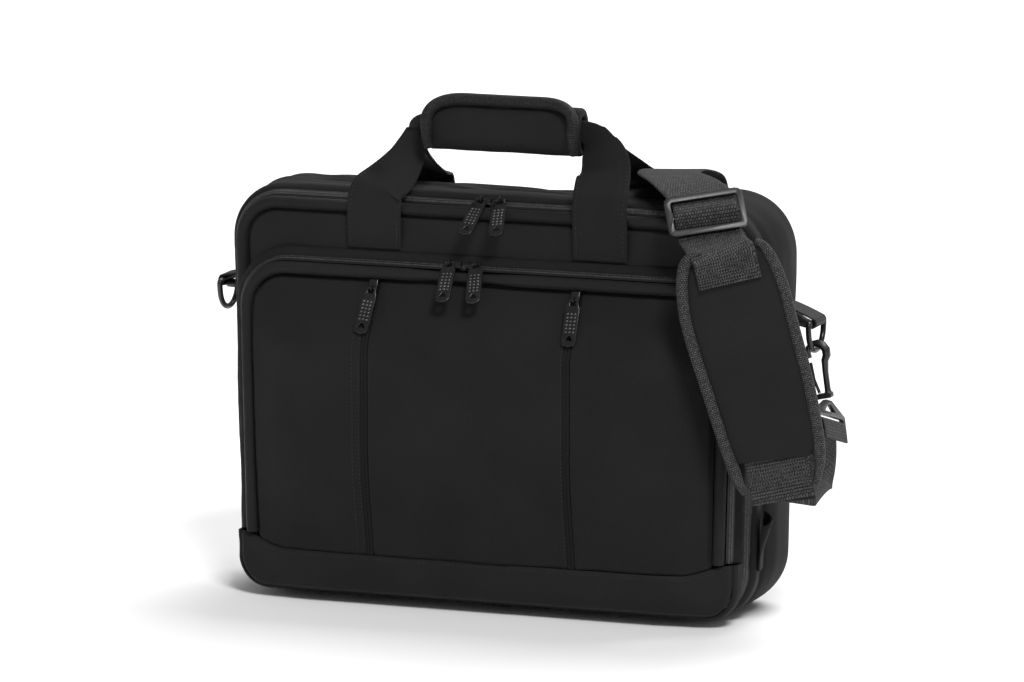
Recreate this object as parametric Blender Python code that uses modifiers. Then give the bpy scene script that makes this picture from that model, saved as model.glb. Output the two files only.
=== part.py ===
"""A soft convertible laptop bag with a padded handle and a detachable shoulder strap, one solid per sub-part.

Metres, +Z up. The bag stands on z = 0, its front faces -Y, and the origin is under the middle of its body.
"""

import math

import bmesh
import bpy
from mathutils import Matrix, Vector

# Body of the bag
HALF_TOP = 0.2170          # half the width of the body at its top
HALF_FOOT = 0.2105         # half the width of the body at its base
HEIGHT = 0.320             # base to top edge
TOP_RADIUS = 0.044
FOOT_RADIUS = 0.041
SEAM_PINCH = 0.0030        # how far the seam between the two compartments draws the sides in
SLUMP = 0.0055             # how far the empty top of the rear part sags
MAIN_DEPTH = 0.0345        # front panel to the seam between the two compartments
REAR_DEPTH = 0.0745        # that seam to the back panel
WALL = 0.0022              # coated cloth with its backing
GAP = 0.0003               # between pieces that touch

# Front pocket
POCKET_DEPTH = 0.021       # main panel to the edge of the pocket's face
POCKET_BULGE = 0.025       # how far the middle of the face swells past its edge
POCKET_X = 0.0025          # the pocket sits a little right of the middle
POCKET_HALF_TOP = 0.2085
POCKET_HALF_FOOT = 0.2030
POCKET_LOW = 0.0060        # height of its lower edge
POCKET_HIGH = 0.2740       # height of its upper edge
POCKET_TOP_RADIUS = 0.047
POCKET_FOOT_RADIUS = 0.025
BAND_HEIGHT = 0.036        # base band of the pocket
SEAM_LEFT = 0.0850         # left vertical zip, from the middle
SEAM_RIGHT = 0.0785        # right vertical zip, from the middle
SEAM_ZIP = 0.005           # width of a vertical zip

# Slip pocket on the right side
SIDE_POCKET_HIGH = 0.080
SIDE_POCKET_OPEN = 0.0070  # how far its mouth stands off the side
SIDE_POCKET_SLOPE = 0.009  # how much higher its hem is at the back
SIDE_POCKET_FRONT = -0.0165
SIDE_POCKET_BACK = 0.0015
SIDE_POCKET_WALL = 0.0016

# Rolls and zips
ROLL = 0.0046              # radius of the puffed roll round a panel
ZIP = 0.0012               # thickness of zip tape and coil

# Handle
GRIP_HALF = 0.0620         # half the length of the padded grip
GRIP_LOW = 0.3480
GRIP_HIGH = 0.3870
GRIP_X = 0.0040            # the grip sits a little right of the middle
GRIP_DEPTH = 0.027
GRIP_WALL = 0.0070         # padding and cover
GRIP_BINDING = 0.0046      # radius of the bound edge of the grip
LEG_X = 0.0915             # middle of each handle strap at its foot
LEG_WIDTH = 0.044
LEG_FOLDED = 0.0168        # the same strap where it is folded inside the grip
STRAP = 0.0022             # thickness of a strap

# Shoulder strap and hardware
WEB_WIDTH = 0.048
WEB = 0.0018
PAD_WIDTH = 0.086
PAD_THICK = 0.0095
BINDING = 0.0047           # radius of the pad's bound edge
GLIDE_LONG = 0.060
GLIDE_WIDE = 0.033
GLIDE_THICK = 0.0036
GLIDE_BAR = 0.0048
RING_WIRE = 0.0022
RING_HALF = 0.0165         # half the inner width of a D-ring
RING_DROP = 0.0190
RING_Z = 0.2260            # height of a ring's straight bar
TAB_REACH = 0.0215         # side of the body to the middle of the bar
LEFT_REACH = 0.0260        # the same on the left, where the strap pulls the tab straight
LEFT_LIFT = 0.0060         # how much higher the left ring sits
TAB_WIDTH = 0.0250
TAB_DROOP = 0.0090         # how far the tab sinks from its seam to the bar
TAB = 0.0016
HOOK_WIRE = 0.0026
HOOK_LONG = 0.0420
HOOK_LEAN = 13             # degrees that the right hook leans out, pulled by the strap
HOOK_WIDE = 0.0080
BASE_LONG = 0.0620
BASE_WIDE = 0.0250
BASE_THICK = 0.0034

# Pulls
PULL_LONG = 0.0370
PULL_WIDE = 0.0118
PULL_THICK = 0.0018
SLIDER_LONG = 0.0110
SLIDER_WIDE = 0.0070
SLIDER_THICK = 0.0030
LUG_INNER = 0.0016
LUG_WIRE = 0.0007
EYE_BAR = 0.0016           # height of the bar across a pull's eye
PULLS_X = -0.0140          # middle between the two pulls of the pocket

# Places that follow from the sizes
DEPTH = POCKET_DEPTH + POCKET_BULGE + MAIN_DEPTH + REAR_DEPTH
FRONT_Y = POCKET_DEPTH + POCKET_BULGE - DEPTH / 2
SEAM_Y = FRONT_Y + MAIN_DEPTH
REAR_Y = SEAM_Y + REAR_DEPTH
FACE_Y = FRONT_Y - POCKET_DEPTH
RING_Y = SEAM_Y + 0.514 * REAR_DEPTH

COLOURS = {
    "cloth": ((0.020, 0.020, 0.022, 1), 0.80, 0.0),
    "roll": ((0.022, 0.022, 0.024, 1), 0.74, 0.0),
    "zip": ((0.030, 0.030, 0.032, 1), 0.55, 0.0),
    "strap": ((0.024, 0.024, 0.026, 1), 0.78, 0.0),
    "webbing": ((0.045, 0.045, 0.047, 1), 0.62, 0.0),
    "binding": ((0.060, 0.060, 0.062, 1), 0.70, 0.0),
    "plastic": ((0.030, 0.030, 0.032, 1), 0.32, 0.0),
    "metal": ((0.055, 0.053, 0.050, 1), 0.30, 0.9),
}


def material(name, look):
    """A Principled material of its own for one piece."""
    colour, rough, metal = COLOURS[look]
    made = bpy.data.materials.new(name)
    made.use_nodes = True
    shader = made.node_tree.nodes["Principled BSDF"]
    shader.inputs["Base Color"].default_value = colour
    shader.inputs["Roughness"].default_value = rough
    shader.inputs["Metallic"].default_value = metal
    made.diffuse_color = colour
    return made


class Outline:
    """A rounded outline in the XZ plane: half widths at head and foot, two levels and two corner radii."""

    ARC = 6
    SIDE = 4
    RAIL = 8

    def __init__(self, half_top, half_foot, low, high, top_radius, foot_radius, middle=0.0):
        self.middle = middle
        self.half_top = half_top
        self.half_foot = half_foot
        self.low = low
        self.high = high
        self.top_radius = top_radius
        self.foot_radius = foot_radius

    def half(self, z):
        """Half width of the straight side at a height."""
        share = (z - self.low) / (self.high - self.low)
        return self.half_foot + (self.half_top - self.half_foot) * share

    def inset(self, by):
        """The same outline drawn in by a distance."""
        return Outline(self.half_top - by, self.half_foot - by, self.low + by, self.high - by,
                       max(self.top_radius - by, 0.002), max(self.foot_radius - by, 0.002), self.middle)

    def left(self, z):
        """Where the outline's left side lies at a height."""
        return self.middle - self.edge(z)

    def right(self, z):
        """Where the outline's right side lies at a height."""
        return self.middle + self.edge(z)

    def edge(self, z):
        """Half width of the outline at a height, corners counted."""
        if z > self.high - self.top_radius:
            rise = min(1.0, (z - self.high + self.top_radius) / self.top_radius)
            return self.half(self.high - self.top_radius) - self.top_radius * (1 - math.sqrt(1 - rise * rise))
        if z < self.low + self.foot_radius:
            drop = min(1.0, (self.low + self.foot_radius - z) / self.foot_radius)
            return self.half(self.low + self.foot_radius) - self.foot_radius * (1 - math.sqrt(1 - drop * drop))
        return self.half(z)

    def corner(self, head, side):
        """Points of one corner, counted anticlockwise as the front sees it."""
        radius = self.top_radius if head else self.foot_radius
        z = self.high - radius if head else self.low + radius
        x = self.middle + side * (self.half(z) - radius)
        start = {(True, 1): 0, (True, -1): 90, (False, -1): 180, (False, 1): 270}[(head, side)]
        turns = [math.radians(start + 90 * k / self.ARC) for k in range(self.ARC + 1)]
        return [(x + radius * math.cos(t), z + radius * math.sin(t)) for t in turns]

    def loop(self):
        """The whole outline, from the foot of the right side, anticlockwise."""
        points = []
        corners = [self.corner(False, 1), self.corner(True, 1), self.corner(True, -1), self.corner(False, -1)]
        for k, arc in enumerate(corners):
            following = corners[(k + 1) % 4][0]
            points += arc
            steps = self.SIDE if k % 2 == 0 else self.RAIL
            last = arc[-1]
            points += [(last[0] + (following[0] - last[0]) * j / steps, last[1] + (following[1] - last[1]) * j / steps)
                       for j in range(1, steps)]
        return points

    def head(self, foot_z):
        """The open run up the right side, over the top and down the left side, from one height to the same."""
        right, left = self.corner(True, 1), self.corner(True, -1)
        heights = [foot_z + (right[0][1] - foot_z) * j / 5 for j in range(5)]
        points = [(self.middle + self.half(z), z) for z in heights]
        points += right
        points += [(right[-1][0] + (left[0][0] - right[-1][0]) * j / 10, self.high) for j in range(1, 10)]
        points += left
        points += [(2 * self.middle - x, z) for x, z in reversed(points[:5])]
        return points

    def foot(self, top_z):
        """The open run down the left side, along the foot and up the right side, from one height to the same."""
        left, right = self.corner(False, -1), self.corner(False, 1)
        points = [(self.middle - self.half(top_z), top_z)]
        points += left
        points += [(left[-1][0] + (right[0][0] - left[-1][0]) * j / 8, self.low) for j in range(1, 8)]
        points += right
        points += [(self.middle + self.half(top_z), top_z)]
        return points


MAIN = Outline(HALF_TOP, HALF_FOOT, 0.0, HEIGHT, TOP_RADIUS, FOOT_RADIUS)
REAR = Outline(HALF_TOP, HALF_FOOT, 0.0020, HEIGHT - 0.0015, TOP_RADIUS, FOOT_RADIUS)
POCKET = Outline(POCKET_HALF_TOP, POCKET_HALF_FOOT, POCKET_LOW, POCKET_HIGH, POCKET_TOP_RADIUS, POCKET_FOOT_RADIUS,
                 POCKET_X)
BAND_Z = POCKET_LOW + BAND_HEIGHT


def at_depth(points, y):
    """Outline points (x, z) set at one depth."""
    return [Vector((x, y, z)) for x, z in points]


def finish(obj, look, smooth=True):
    """Gives a piece its material and its collection, and shades it."""
    obj.data.materials.append(material(obj.name + "_material", look))
    for home in list(obj.users_collection):
        home.objects.unlink(obj)
    BAG.objects.link(obj)
    obj.parent = ROOT
    if smooth and obj.type == "MESH":
        obj.data.shade_smooth()
        obj.data.set_sharp_from_angle(angle=math.radians(35))
    return obj


def shell(name, rows, look, thickness=WALL, closed=False, out=True):
    """A cloth wall lofted through rows of points, thickened to its inner side."""
    bm = bmesh.new()
    grid = [[bm.verts.new(point) for point in row] for row in rows]
    count = len(rows[0])
    for lower, upper in zip(grid, grid[1:]):
        for i in range(count if closed else count - 1):
            j = (i + 1) % count
            face = (lower[i], lower[j], upper[j], upper[i])
            bm.faces.new(face if out else tuple(reversed(face)))
    mesh = bpy.data.meshes.new(name)
    bm.to_mesh(mesh)
    bm.free()
    obj = bpy.data.objects.new(name, mesh)
    BAG.objects.link(obj)
    wall = obj.modifiers.new("wall", "SOLIDIFY")
    wall.thickness = thickness
    wall.offset = -1
    wall.use_even_offset = True
    wall.thickness_clamp = 0
    return finish(obj, look)


def frames(centres, across):
    """Tangent, across and normal at each station of a route."""
    made = []
    for k, (centre, wide) in enumerate(zip(centres, across)):
        before = centres[max(k - 1, 0)]
        after = centres[min(k + 1, len(centres) - 1)]
        along = (after - before).normalized()
        side = (wide - along * wide.dot(along)).normalized()
        made.append((centre, along, side, side.cross(along).normalized()))
    return made


def ribbon(name, centres, across, widths, look, thickness=STRAP):
    """A flat strap along a route: one width direction and one width at each station."""
    bm = bmesh.new()
    sections = []
    for (centre, _, side, normal), width in zip(frames(centres, across), widths):
        a, n = side * width / 2, normal * thickness / 2
        sections.append([bm.verts.new(centre + d) for d in (-a - n, a - n, a + n, -a + n)])
    for one, two in zip(sections, sections[1:]):
        for i in range(4):
            j = (i + 1) % 4
            bm.faces.new((one[i], one[j], two[j], two[i]))
    bm.faces.new(tuple(reversed(sections[0])))
    bm.faces.new(tuple(sections[-1]))
    bmesh.ops.recalc_face_normals(bm, faces=bm.faces)
    mesh = bpy.data.meshes.new(name)
    bm.to_mesh(mesh)
    bm.free()
    obj = bpy.data.objects.new(name, mesh)
    BAG.objects.link(obj)
    return finish(obj, look)


def tube(name, points, radius, look, cyclic=False, sides=2, radii=None):
    """A round rod along a route, with closed ends."""
    curve = bpy.data.curves.new(name, "CURVE")
    curve.dimensions = "3D"
    curve.bevel_depth = radius
    curve.bevel_resolution = sides
    curve.use_fill_caps = True
    spline = curve.splines.new("POLY")
    spline.points.add(len(points) - 1)
    for k, point in enumerate(points):
        spline.points[k].co = (*point, 1)
        spline.points[k].radius = radii[k] if radii else 1.0
    spline.use_cyclic_u = cyclic
    obj = bpy.data.objects.new(name, curve)
    BAG.objects.link(obj)
    return finish(obj, look)


def plate(name, loops, thickness, frame, look):
    """A flat outline with holes, half its thickness to each side of its plane, set in a frame."""
    curve = bpy.data.curves.new(name, "CURVE")
    curve.dimensions = "2D"
    curve.fill_mode = "BOTH"
    curve.extrude = thickness / 2
    for loop in loops:
        spline = curve.splines.new("POLY")
        spline.points.add(len(loop) - 1)
        for k, (x, y) in enumerate(loop):
            spline.points[k].co = (x, y, 0, 1)
        spline.use_cyclic_u = True
    obj = bpy.data.objects.new(name, curve)
    BAG.objects.link(obj)
    finish(obj, look)
    obj.matrix_world = frame
    return obj


def as_mesh(obj, look):
    """A curve made into a mesh object of the same name, so that it can be cut or joined."""
    graph = bpy.context.evaluated_depsgraph_get()
    mesh = bpy.data.meshes.new_from_object(obj.evaluated_get(graph))
    bm = bmesh.new()
    bm.from_mesh(mesh)
    bmesh.ops.remove_doubles(bm, verts=bm.verts, dist=0.00001)
    bmesh.ops.recalc_face_normals(bm, faces=bm.faces)
    bm.to_mesh(mesh)
    bm.free()
    name, frame = obj.name, obj.matrix_world.copy()
    bpy.data.objects.remove(obj)
    made = bpy.data.objects.new(name, mesh)
    made.data.materials.clear()
    BAG.objects.link(made)
    finish(made, look)
    made.matrix_world = frame
    return made


def join(base, other):
    """Adds a helper's solid to a piece and hides the helper."""
    for home in list(other.users_collection):
        home.objects.unlink(other)
    CUTTERS.objects.link(other)
    other.hide_render = True
    other.display_type = "WIRE"
    union = base.modifiers.new("join_" + other.name, "BOOLEAN")
    union.operation = "UNION"
    union.object = other
    return base


def block(name, size, frame, look, bevel=0.0):
    """A box of a given size in a frame, its edges rounded."""
    bm = bmesh.new()
    bmesh.ops.create_cube(bm, size=1.0)
    bmesh.ops.scale(bm, vec=Vector(size), verts=bm.verts)
    mesh = bpy.data.meshes.new(name)
    bm.to_mesh(mesh)
    bm.free()
    obj = bpy.data.objects.new(name, mesh)
    BAG.objects.link(obj)
    if bevel:
        round_edges = obj.modifiers.new("edges", "BEVEL")
        round_edges.width = bevel
        round_edges.segments = 2
    finish(obj, look)
    obj.matrix_world = frame
    return obj


def axes(origin, x_axis, z_axis):
    """A frame at a point whose X runs along one direction and whose Z is near another."""
    x = x_axis.normalized()
    z = (z_axis - x * z_axis.dot(x)).normalized()
    y = z.cross(x)
    turned = Matrix((x, y, z)).transposed().to_4x4()
    return Matrix.Translation(origin) @ turned


def rounded(width, height, radius, steps=3):
    """A rounded rectangle about the origin as 2D points."""
    points = []
    for sx, sy, start in ((1, 1, 0), (-1, 1, 90), (-1, -1, 180), (1, -1, 270)):
        for k in range(steps + 1):
            t = math.radians(start + 90 * k / steps)
            points.append((sx * (width / 2 - radius) + radius * math.cos(t),
                           sy * (height / 2 - radius) + radius * math.sin(t)))
    return points


def moved(points, dx, dy):
    """2D points shifted."""
    return [(x + dx, y + dy) for x, y in points]


def smooth_route(points, steps):
    """Points along a smooth curve through a few chosen ones."""
    made = []
    last = len(points) - 1
    for k in range(last):
        p0, p1 = points[max(k - 1, 0)], points[k]
        p2, p3 = points[k + 1], points[min(k + 2, last)]
        for j in range(steps):
            t = j / steps
            made.append(0.5 * ((2 * p1) + (p2 - p0) * t + (2 * p0 - 5 * p1 + 4 * p2 - p3) * t ** 2
                               + (3 * p1 - p0 - 3 * p2 + p3) * t ** 3))
    made.append(points[last].copy())
    return made


def rise(t):
    """Smooth step from 0 to 1."""
    t = min(1.0, max(0.0, t))
    return t * t * (3 - 2 * t)


# Soft panels

PANEL_INSET = 0.0185
ROLL_INSET = PANEL_INSET - ROLL - GAP
POCKET_PANEL_INSET = 0.0192
POCKET_ROLL_INSET = POCKET_PANEL_INSET - ROLL - GAP


def levels(shape, low, high, straight, arc):
    """Heights of a panel's rows: rows in the foot corners, on the straight sides and in the head corners."""
    rows = []
    foot_end = shape.low + shape.foot_radius
    head_start = shape.high - shape.top_radius
    if low < foot_end:
        first = max(-1.0, (low - foot_end) / shape.foot_radius)
        start = math.asin(first)
        rows += [foot_end + shape.foot_radius * math.sin(start * (1 - k / arc)) for k in range(arc)]
        low = foot_end
    if high > head_start:
        rows += [low + (head_start - low) * k / straight for k in range(straight)]
        rows += [head_start + shape.top_radius * math.sin(math.pi / 2 * k / arc) for k in range(arc + 1)]
    else:
        rows += [low + (high - low) * k / straight for k in range(straight + 1)]
    return rows


def panel_rows(depth_at, left, right, heights, columns, height_at=None):
    """Rows of a panel between two side lines, each a function of the height."""
    rows = []
    for level in heights:
        a, b = left(level), right(level)
        row = []
        for k in range(columns + 1):
            x = a + (b - a) * k / columns
            z = height_at(x, level) if height_at else level
            row.append(Vector((x, depth_at(x, z), z)))
        rows.append(row)
    return rows


def swell(shape, x, z):
    """0 at a panel's edge, 1 over most of it."""
    side = max(0.0, 1 - abs(x) / shape.half(z))
    up = max(0.0, shape.high - z)
    down = max(0.0, z - shape.low)
    width = 0.30 * shape.half_top
    return rise(side * shape.half_top / width) ** 0.8 * rise(up / width) ** 0.9 * rise((down + 0.010) / width) ** 0.7


MAIN_COIL = ((0.0088, -0.0060), (0.0048, -0.0102))     # inset and depth of the two edges of the zip tape
POCKET_COIL = ((0.0055, 0.0104), (0.0098, 0.0158))
FACE = POCKET.inset(POCKET_PANEL_INSET)
BAND_INSET = 0.0036
BAND = POCKET.inset(BAND_INSET)
BAND_LIFT = 0.0090         # how far the band's seam climbs at each side
MAIN_FACE = MAIN.inset(PANEL_INSET)
BACK_FACE = REAR.inset(0.0200)


def pocket_depth_at(x, z):
    """Depth of the pocket's face: a broad swelling, fuller in the middle, flatter towards the base."""
    width = 0.34 * BAND.half_top
    side = rise((BAND.half(z) - abs(x - POCKET_X)) / width) ** 0.75
    up = rise((FACE.high - z) / (0.8 * width)) ** 0.85
    share_up = (z - BAND.low) / (FACE.high - BAND.low)
    fall = 0.42 + 0.58 * rise(share_up / 0.50)
    foot = rise((z - BAND.low + 0.012) / 0.026)
    return FACE_Y + 0.0015 - (POCKET_BULGE + 0.0015) * side * up * fall * foot


def seam_lift(x):
    """How far the base band's seam has climbed at a place across the pocket."""
    return BAND_LIFT * rise((abs(x - POCKET_X) / BAND.half(BAND_Z) - 0.80) / 0.20)


def above_seam(x, z):
    """Height of a point of the face once the seam under it is lifted."""
    return z + seam_lift(x) * max(0.0, 1 - (z - BAND_Z) / (1.8 * BAND_HEIGHT))


def below_seam(x, z):
    """Height of a point of the base band once its seam is lifted."""
    return z + seam_lift(x) * max(0.0, (z - BAND.low) / (BAND_Z - BAND.low))


def main_depth_at(x, z):
    """Depth of the main front panel, slightly full above the pocket."""
    return FRONT_Y - 0.0010 - 0.0050 * swell(MAIN_FACE, x, z)


def back_depth_at(x, z):
    """Depth of the plain padded back panel."""
    return REAR_Y + 0.0045 * swell(BACK_FACE, x, z)


def slumped(point):
    """A point of the rear gusset once its empty top has sagged at the left and in the middle."""
    share = max(0.0, (point.y - SEAM_Y) / REAR_DEPTH)
    deep = rise(share / 0.5) * rise((1.0 - share) / 0.14)
    sag = SLUMP * (1 - 1.5 * rise((point.x - 0.0300) / 0.1200)) * rise((point.x + HALF_TOP) / 0.0600)
    high = rise((point.z - 0.80 * HEIGHT) / (0.19 * HEIGHT))
    return point - Vector((0, 0, sag * deep * high))


def pinched(point):
    """A point of a gusset drawn in at the side where it lies near the seam between the compartments."""
    near = rise(1 - abs(point.y - SEAM_Y) / (0.30 * REAR_DEPTH))
    amount = SEAM_PINCH * near * rise(abs(point.x) / HALF_FOOT * 2 - 1) * rise(point.z / FOOT_RADIUS)
    return point - Vector((math.copysign(amount, point.x), 0, 0))


def build_main():
    """Both compartments: front panel, roll, zip, the two gussets and the back panel."""
    heights = levels(MAIN_FACE, MAIN_FACE.low, MAIN_FACE.high, 6, 4)
    rows = panel_rows(main_depth_at, MAIN_FACE.left, MAIN_FACE.right, heights, 12)
    shell("main_front_panel", rows, "cloth")
    path = at_depth(MAIN.inset(ROLL_INSET).loop(), FRONT_Y + 0.0012)
    tube("main_front_roll", path, ROLL, "roll", cyclic=True, sides=1)
    zip_rows = [at_depth(MAIN.inset(inset).loop(), FRONT_Y - depth) for inset, depth in MAIN_COIL]
    shell("main_zip", zip_rows, "zip", thickness=ZIP, closed=True, out=False)
    profile = ((0.0046, FRONT_Y + 0.0107), (0.0012, FRONT_Y + 0.0138), (0.0, FRONT_Y + 0.0190), (0.0, SEAM_Y - GAP / 2))
    rings = [at_depth(MAIN.inset(i).loop(), y) for i, y in profile]
    shell("main_gusset", [[pinched(point) for point in ring] for ring in rings], "cloth", closed=True, out=False)
    profile = ((0.0008, 0.0), (-0.0015, 0.12), (-0.0020, 0.45), (-0.0010, 0.72), (0.0030, 0.87), (0.0090, 0.965), (0.0185, 1.0))
    rings = [at_depth(REAR.inset(i).loop(), SEAM_Y + GAP / 2 + share * (REAR_DEPTH - GAP)) for i, share in profile]
    shell("rear_gusset", [[pinched(slumped(point)) for point in ring] for ring in rings], "cloth", closed=True, out=False)
    heights = levels(BACK_FACE, BACK_FACE.low, BACK_FACE.high, 5, 4)
    rows = panel_rows(back_depth_at, BACK_FACE.left, BACK_FACE.right, heights, 8)
    shell("back_panel", rows, "cloth", out=False)


def on_main(points):
    """Outline points laid on the main panel or on its roll, where the pocket is sewn on."""
    return [Vector((x, min(FRONT_Y - 0.0048, main_depth_at(x, z) - 0.0013), z)) for x, z in points]


def build_pocket():
    """The front pocket: strip, zip, roll, three face panels, two vertical zips and the base."""
    foot_z = BAND_Z + BAND_LIFT + GAP
    strip = [on_main(POCKET.head(foot_z)), at_depth(POCKET.inset(0.0052).head(foot_z), FRONT_Y - 0.0098)]
    shell("pocket_strip", strip, "cloth", thickness=0.0015)
    tape = [at_depth(POCKET.inset(inset).head(foot_z), FRONT_Y - depth) for inset, depth in POCKET_COIL]
    shell("pocket_zip", tape, "zip", thickness=ZIP)
    path = at_depth(POCKET.inset(POCKET_ROLL_INSET).head(foot_z), FACE_Y + 0.0012)
    pressed = [1 - 0.25 * rise(1.6 - abs(point.x - PULLS_X) / 0.030) if point.z > POCKET_HIGH - 0.03 else 1.0 for point in path]
    tube("pocket_roll", path, ROLL, "roll", sides=1, radii=pressed)
    seam = SEAM_ZIP / 2 + GAP
    heights = levels(FACE, BAND_Z + GAP, FACE.high, 7, 4)
    edges = {
        "pocket_left_panel": (FACE.left, lambda z: -SEAM_LEFT - seam, 5),
        "pocket_middle_panel": (lambda z: -SEAM_LEFT + seam, lambda z: SEAM_RIGHT - seam, 7),
        "pocket_right_panel": (lambda z: SEAM_RIGHT + seam, FACE.right, 5),
    }
    for name, (left, right, columns) in edges.items():
        shell(name, panel_rows(pocket_depth_at, left, right, heights, columns, above_seam), "cloth")
    for middle, name in ((-SEAM_LEFT, "vertical_zip_left"), (SEAM_RIGHT, "vertical_zip_right")):
        rows = [[Vector((middle + dx, pocket_depth_at(middle, z) + 0.0006, z)) for dx in (-SEAM_ZIP / 2, SEAM_ZIP / 2)]
                for z in heights]
        shell(name, rows, "zip", thickness=ZIP)
    heights = levels(BAND, BAND.low, BAND_Z - GAP, 3, 3)
    rows = panel_rows(pocket_depth_at, BAND.left, BAND.right, heights, 12, below_seam)
    shell("pocket_base_band", rows, "cloth")
    top_z = BAND_Z + BAND_LIFT - GAP
    behind = FACE_Y + 0.0015 + WALL
    profile = ((0.0, 0.0), (0.0, behind + 0.0060), (0.0010, behind + 0.0028), (BAND_INSET - GAP, behind + 0.0011))
    rows = [on_main(POCKET.foot(top_z))]
    rows += [at_depth(POCKET.inset(i).foot(top_z), y) for i, y in profile[1:]]
    shell("pocket_base_gusset", rows, "cloth")


def handle_leg(side, front, leans=False):
    """Route of half a handle strap: from its stitched foot up past the bag's edge and into the grip."""
    surface = (lambda x, z: main_depth_at(x, z) - STRAP / 2 - 2 * GAP) if front else (
        lambda x, z: back_depth_at(x, z) + STRAP / 2 + 2 * GAP)
    face = -1 if front else 1
    foot = POCKET_HIGH + 0.0022 if front else HEIGHT - 0.046
    edge_y = FRONT_Y + 0.0012 - ROLL - STRAP / 2 - 3 * GAP if front else REAR_Y + STRAP / 2 + 0.0020
    grip_z = (GRIP_LOW + GRIP_HIGH) / 2 + 0.0010
    inner_y = GRIP_Y + face * (STRAP / 2 + 3 * GAP)
    lean = edge_y - inner_y
    bend = (GRIP_HIGH - HEIGHT)
    rows = (
        # share of LEG_X, rise as a share of the way from bag to grip top, lean, width share, turn from X to Z
        (0.990, 0.06, 0.08, 1.00, 0.00),
        (0.975, 0.28, 0.42, 1.00, 0.06),
        (0.955, 0.43, 0.66, 0.93, 0.32),
        (0.900, 0.56, 0.84, 0.74, 0.62),
        (0.815, 0.66, 0.95, 0.52, 0.90),
    )
    leaning = (
        (0.985, 0.02, 0.10, 0.98, 0.03),
        (0.900, 0.15, 0.38, 0.84, 0.25),
        (0.840, 0.32, 0.64, 0.66, 0.52),
        (0.812, 0.48, 0.84, 0.54, 0.76),
        (0.780, 0.62, 0.94, 0.44, 0.94),
    )
    table = [
        (1.000, foot, surface(side * LEG_X, foot), 1.00, 0.00, 0.0),
        (1.000, HEIGHT - ROLL_INSET - 1.4 * ROLL, edge_y, 1.00, 0.00, 0.0),
        (0.995, HEIGHT - ROLL_INSET + ROLL, edge_y, 1.00, 0.00, 0.0),
    ]
    table += [(share, HEIGHT + up * bend, edge_y - tip * lean, width, turn, tip)
              for share, up, tip, width, turn in (leaning if leans else rows)]
    table += [
        (GRIP_HALF / LEG_X, grip_z, inner_y, LEG_FOLDED / LEG_WIDTH, 1.00, 1.0),
        (0.35, grip_z, inner_y, LEG_FOLDED / LEG_WIDTH, 1.00, 1.0),
    ]
    centres, across, widths = [], [], []
    for share, z, y, width, turn, near in table:
        angle = math.radians(90 * turn)
        centres.append(Vector((side * LEG_X * share + GRIP_X * near, y, z)))
        across.append(Vector((-math.cos(angle), 0, -side * math.sin(angle))))
        widths.append(LEG_WIDTH * width)
    return centres, across, widths


GRIP_Y = -0.0010


def build_handle():
    """Two strap loops through a padded grip with a bound edge."""
    for name, front in (("handle_front_strap", True), ("handle_rear_strap", False)):
        left = handle_leg(-1, front, leans=True)
        right = handle_leg(1, front, leans=not front)
        centres = left[0] + list(reversed(right[0]))
        across = [Vector(a) for a in left[1]] + [-a for a in reversed(right[1])]
        widths = left[2] + list(reversed(right[2]))
        ribbon(name, centres, across, widths, "strap")
    height = GRIP_HIGH - GRIP_LOW
    rows = []
    for k in range(13):
        t = math.radians(-78 + 336 * k / 12)
        y = GRIP_Y - GRIP_DEPTH / 2 * math.sin(t + math.pi / 2)
        z = (GRIP_LOW + GRIP_HIGH) / 2 - height / 2 * math.cos(t + math.pi / 2)
        rows.append([Vector((x, y, z)) for x in [GRIP_X - GRIP_HALF + 2 * GRIP_HALF * j / 4 for j in range(5)]])
    shell("handle_grip", rows, "cloth", thickness=GRIP_WALL)
    path = []
    reach = GRIP_BINDING + 2 * GAP
    middle_z = (GRIP_LOW + GRIP_HIGH) / 2

    def on_grip(x, degrees):
        t = math.radians(degrees)
        outward = Vector((0, -math.cos(t) * height / 2, math.sin(t) * GRIP_DEPTH / 2)).normalized()
        return Vector((x, GRIP_Y - GRIP_DEPTH / 2 * math.cos(t), middle_z + height / 2 * math.sin(t))) + outward * reach

    end = GRIP_HALF - 0.6 * GRIP_BINDING
    path += [on_grip(-end, degrees) for degrees in (-60, -38, -16, 6, 26)]
    path += [on_grip(-end + 0.06 * GRIP_HALF, 45), on_grip(-end + 0.18 * GRIP_HALF, 60), on_grip(-end + 0.36 * GRIP_HALF, 69)]
    path += [on_grip(x * GRIP_HALF, 70) for x in (-0.3, 0.0, 0.3)]
    path += [Vector((-p.x, p.y, p.z)) for p in reversed(path[:8])]
    tube("grip_binding", [p + Vector((GRIP_X, 0, 0)) for p in path], GRIP_BINDING, "binding", sides=1)


def ring_frame(side):
    """Origin of a D-ring: the middle of its straight bar."""
    reach = TAB_REACH if side > 0 else LEFT_REACH
    height = RING_Z if side > 0 else RING_Z + LEFT_LIFT
    return Vector((side * (REAR.half(RING_Z) + 0.0020 + reach), RING_Y, height))


def at(x, y, z):
    """A point given as shares of the half width, the depth and the height."""
    return Vector((x * HALF_TOP, y * DEPTH, z * HEIGHT))


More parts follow.
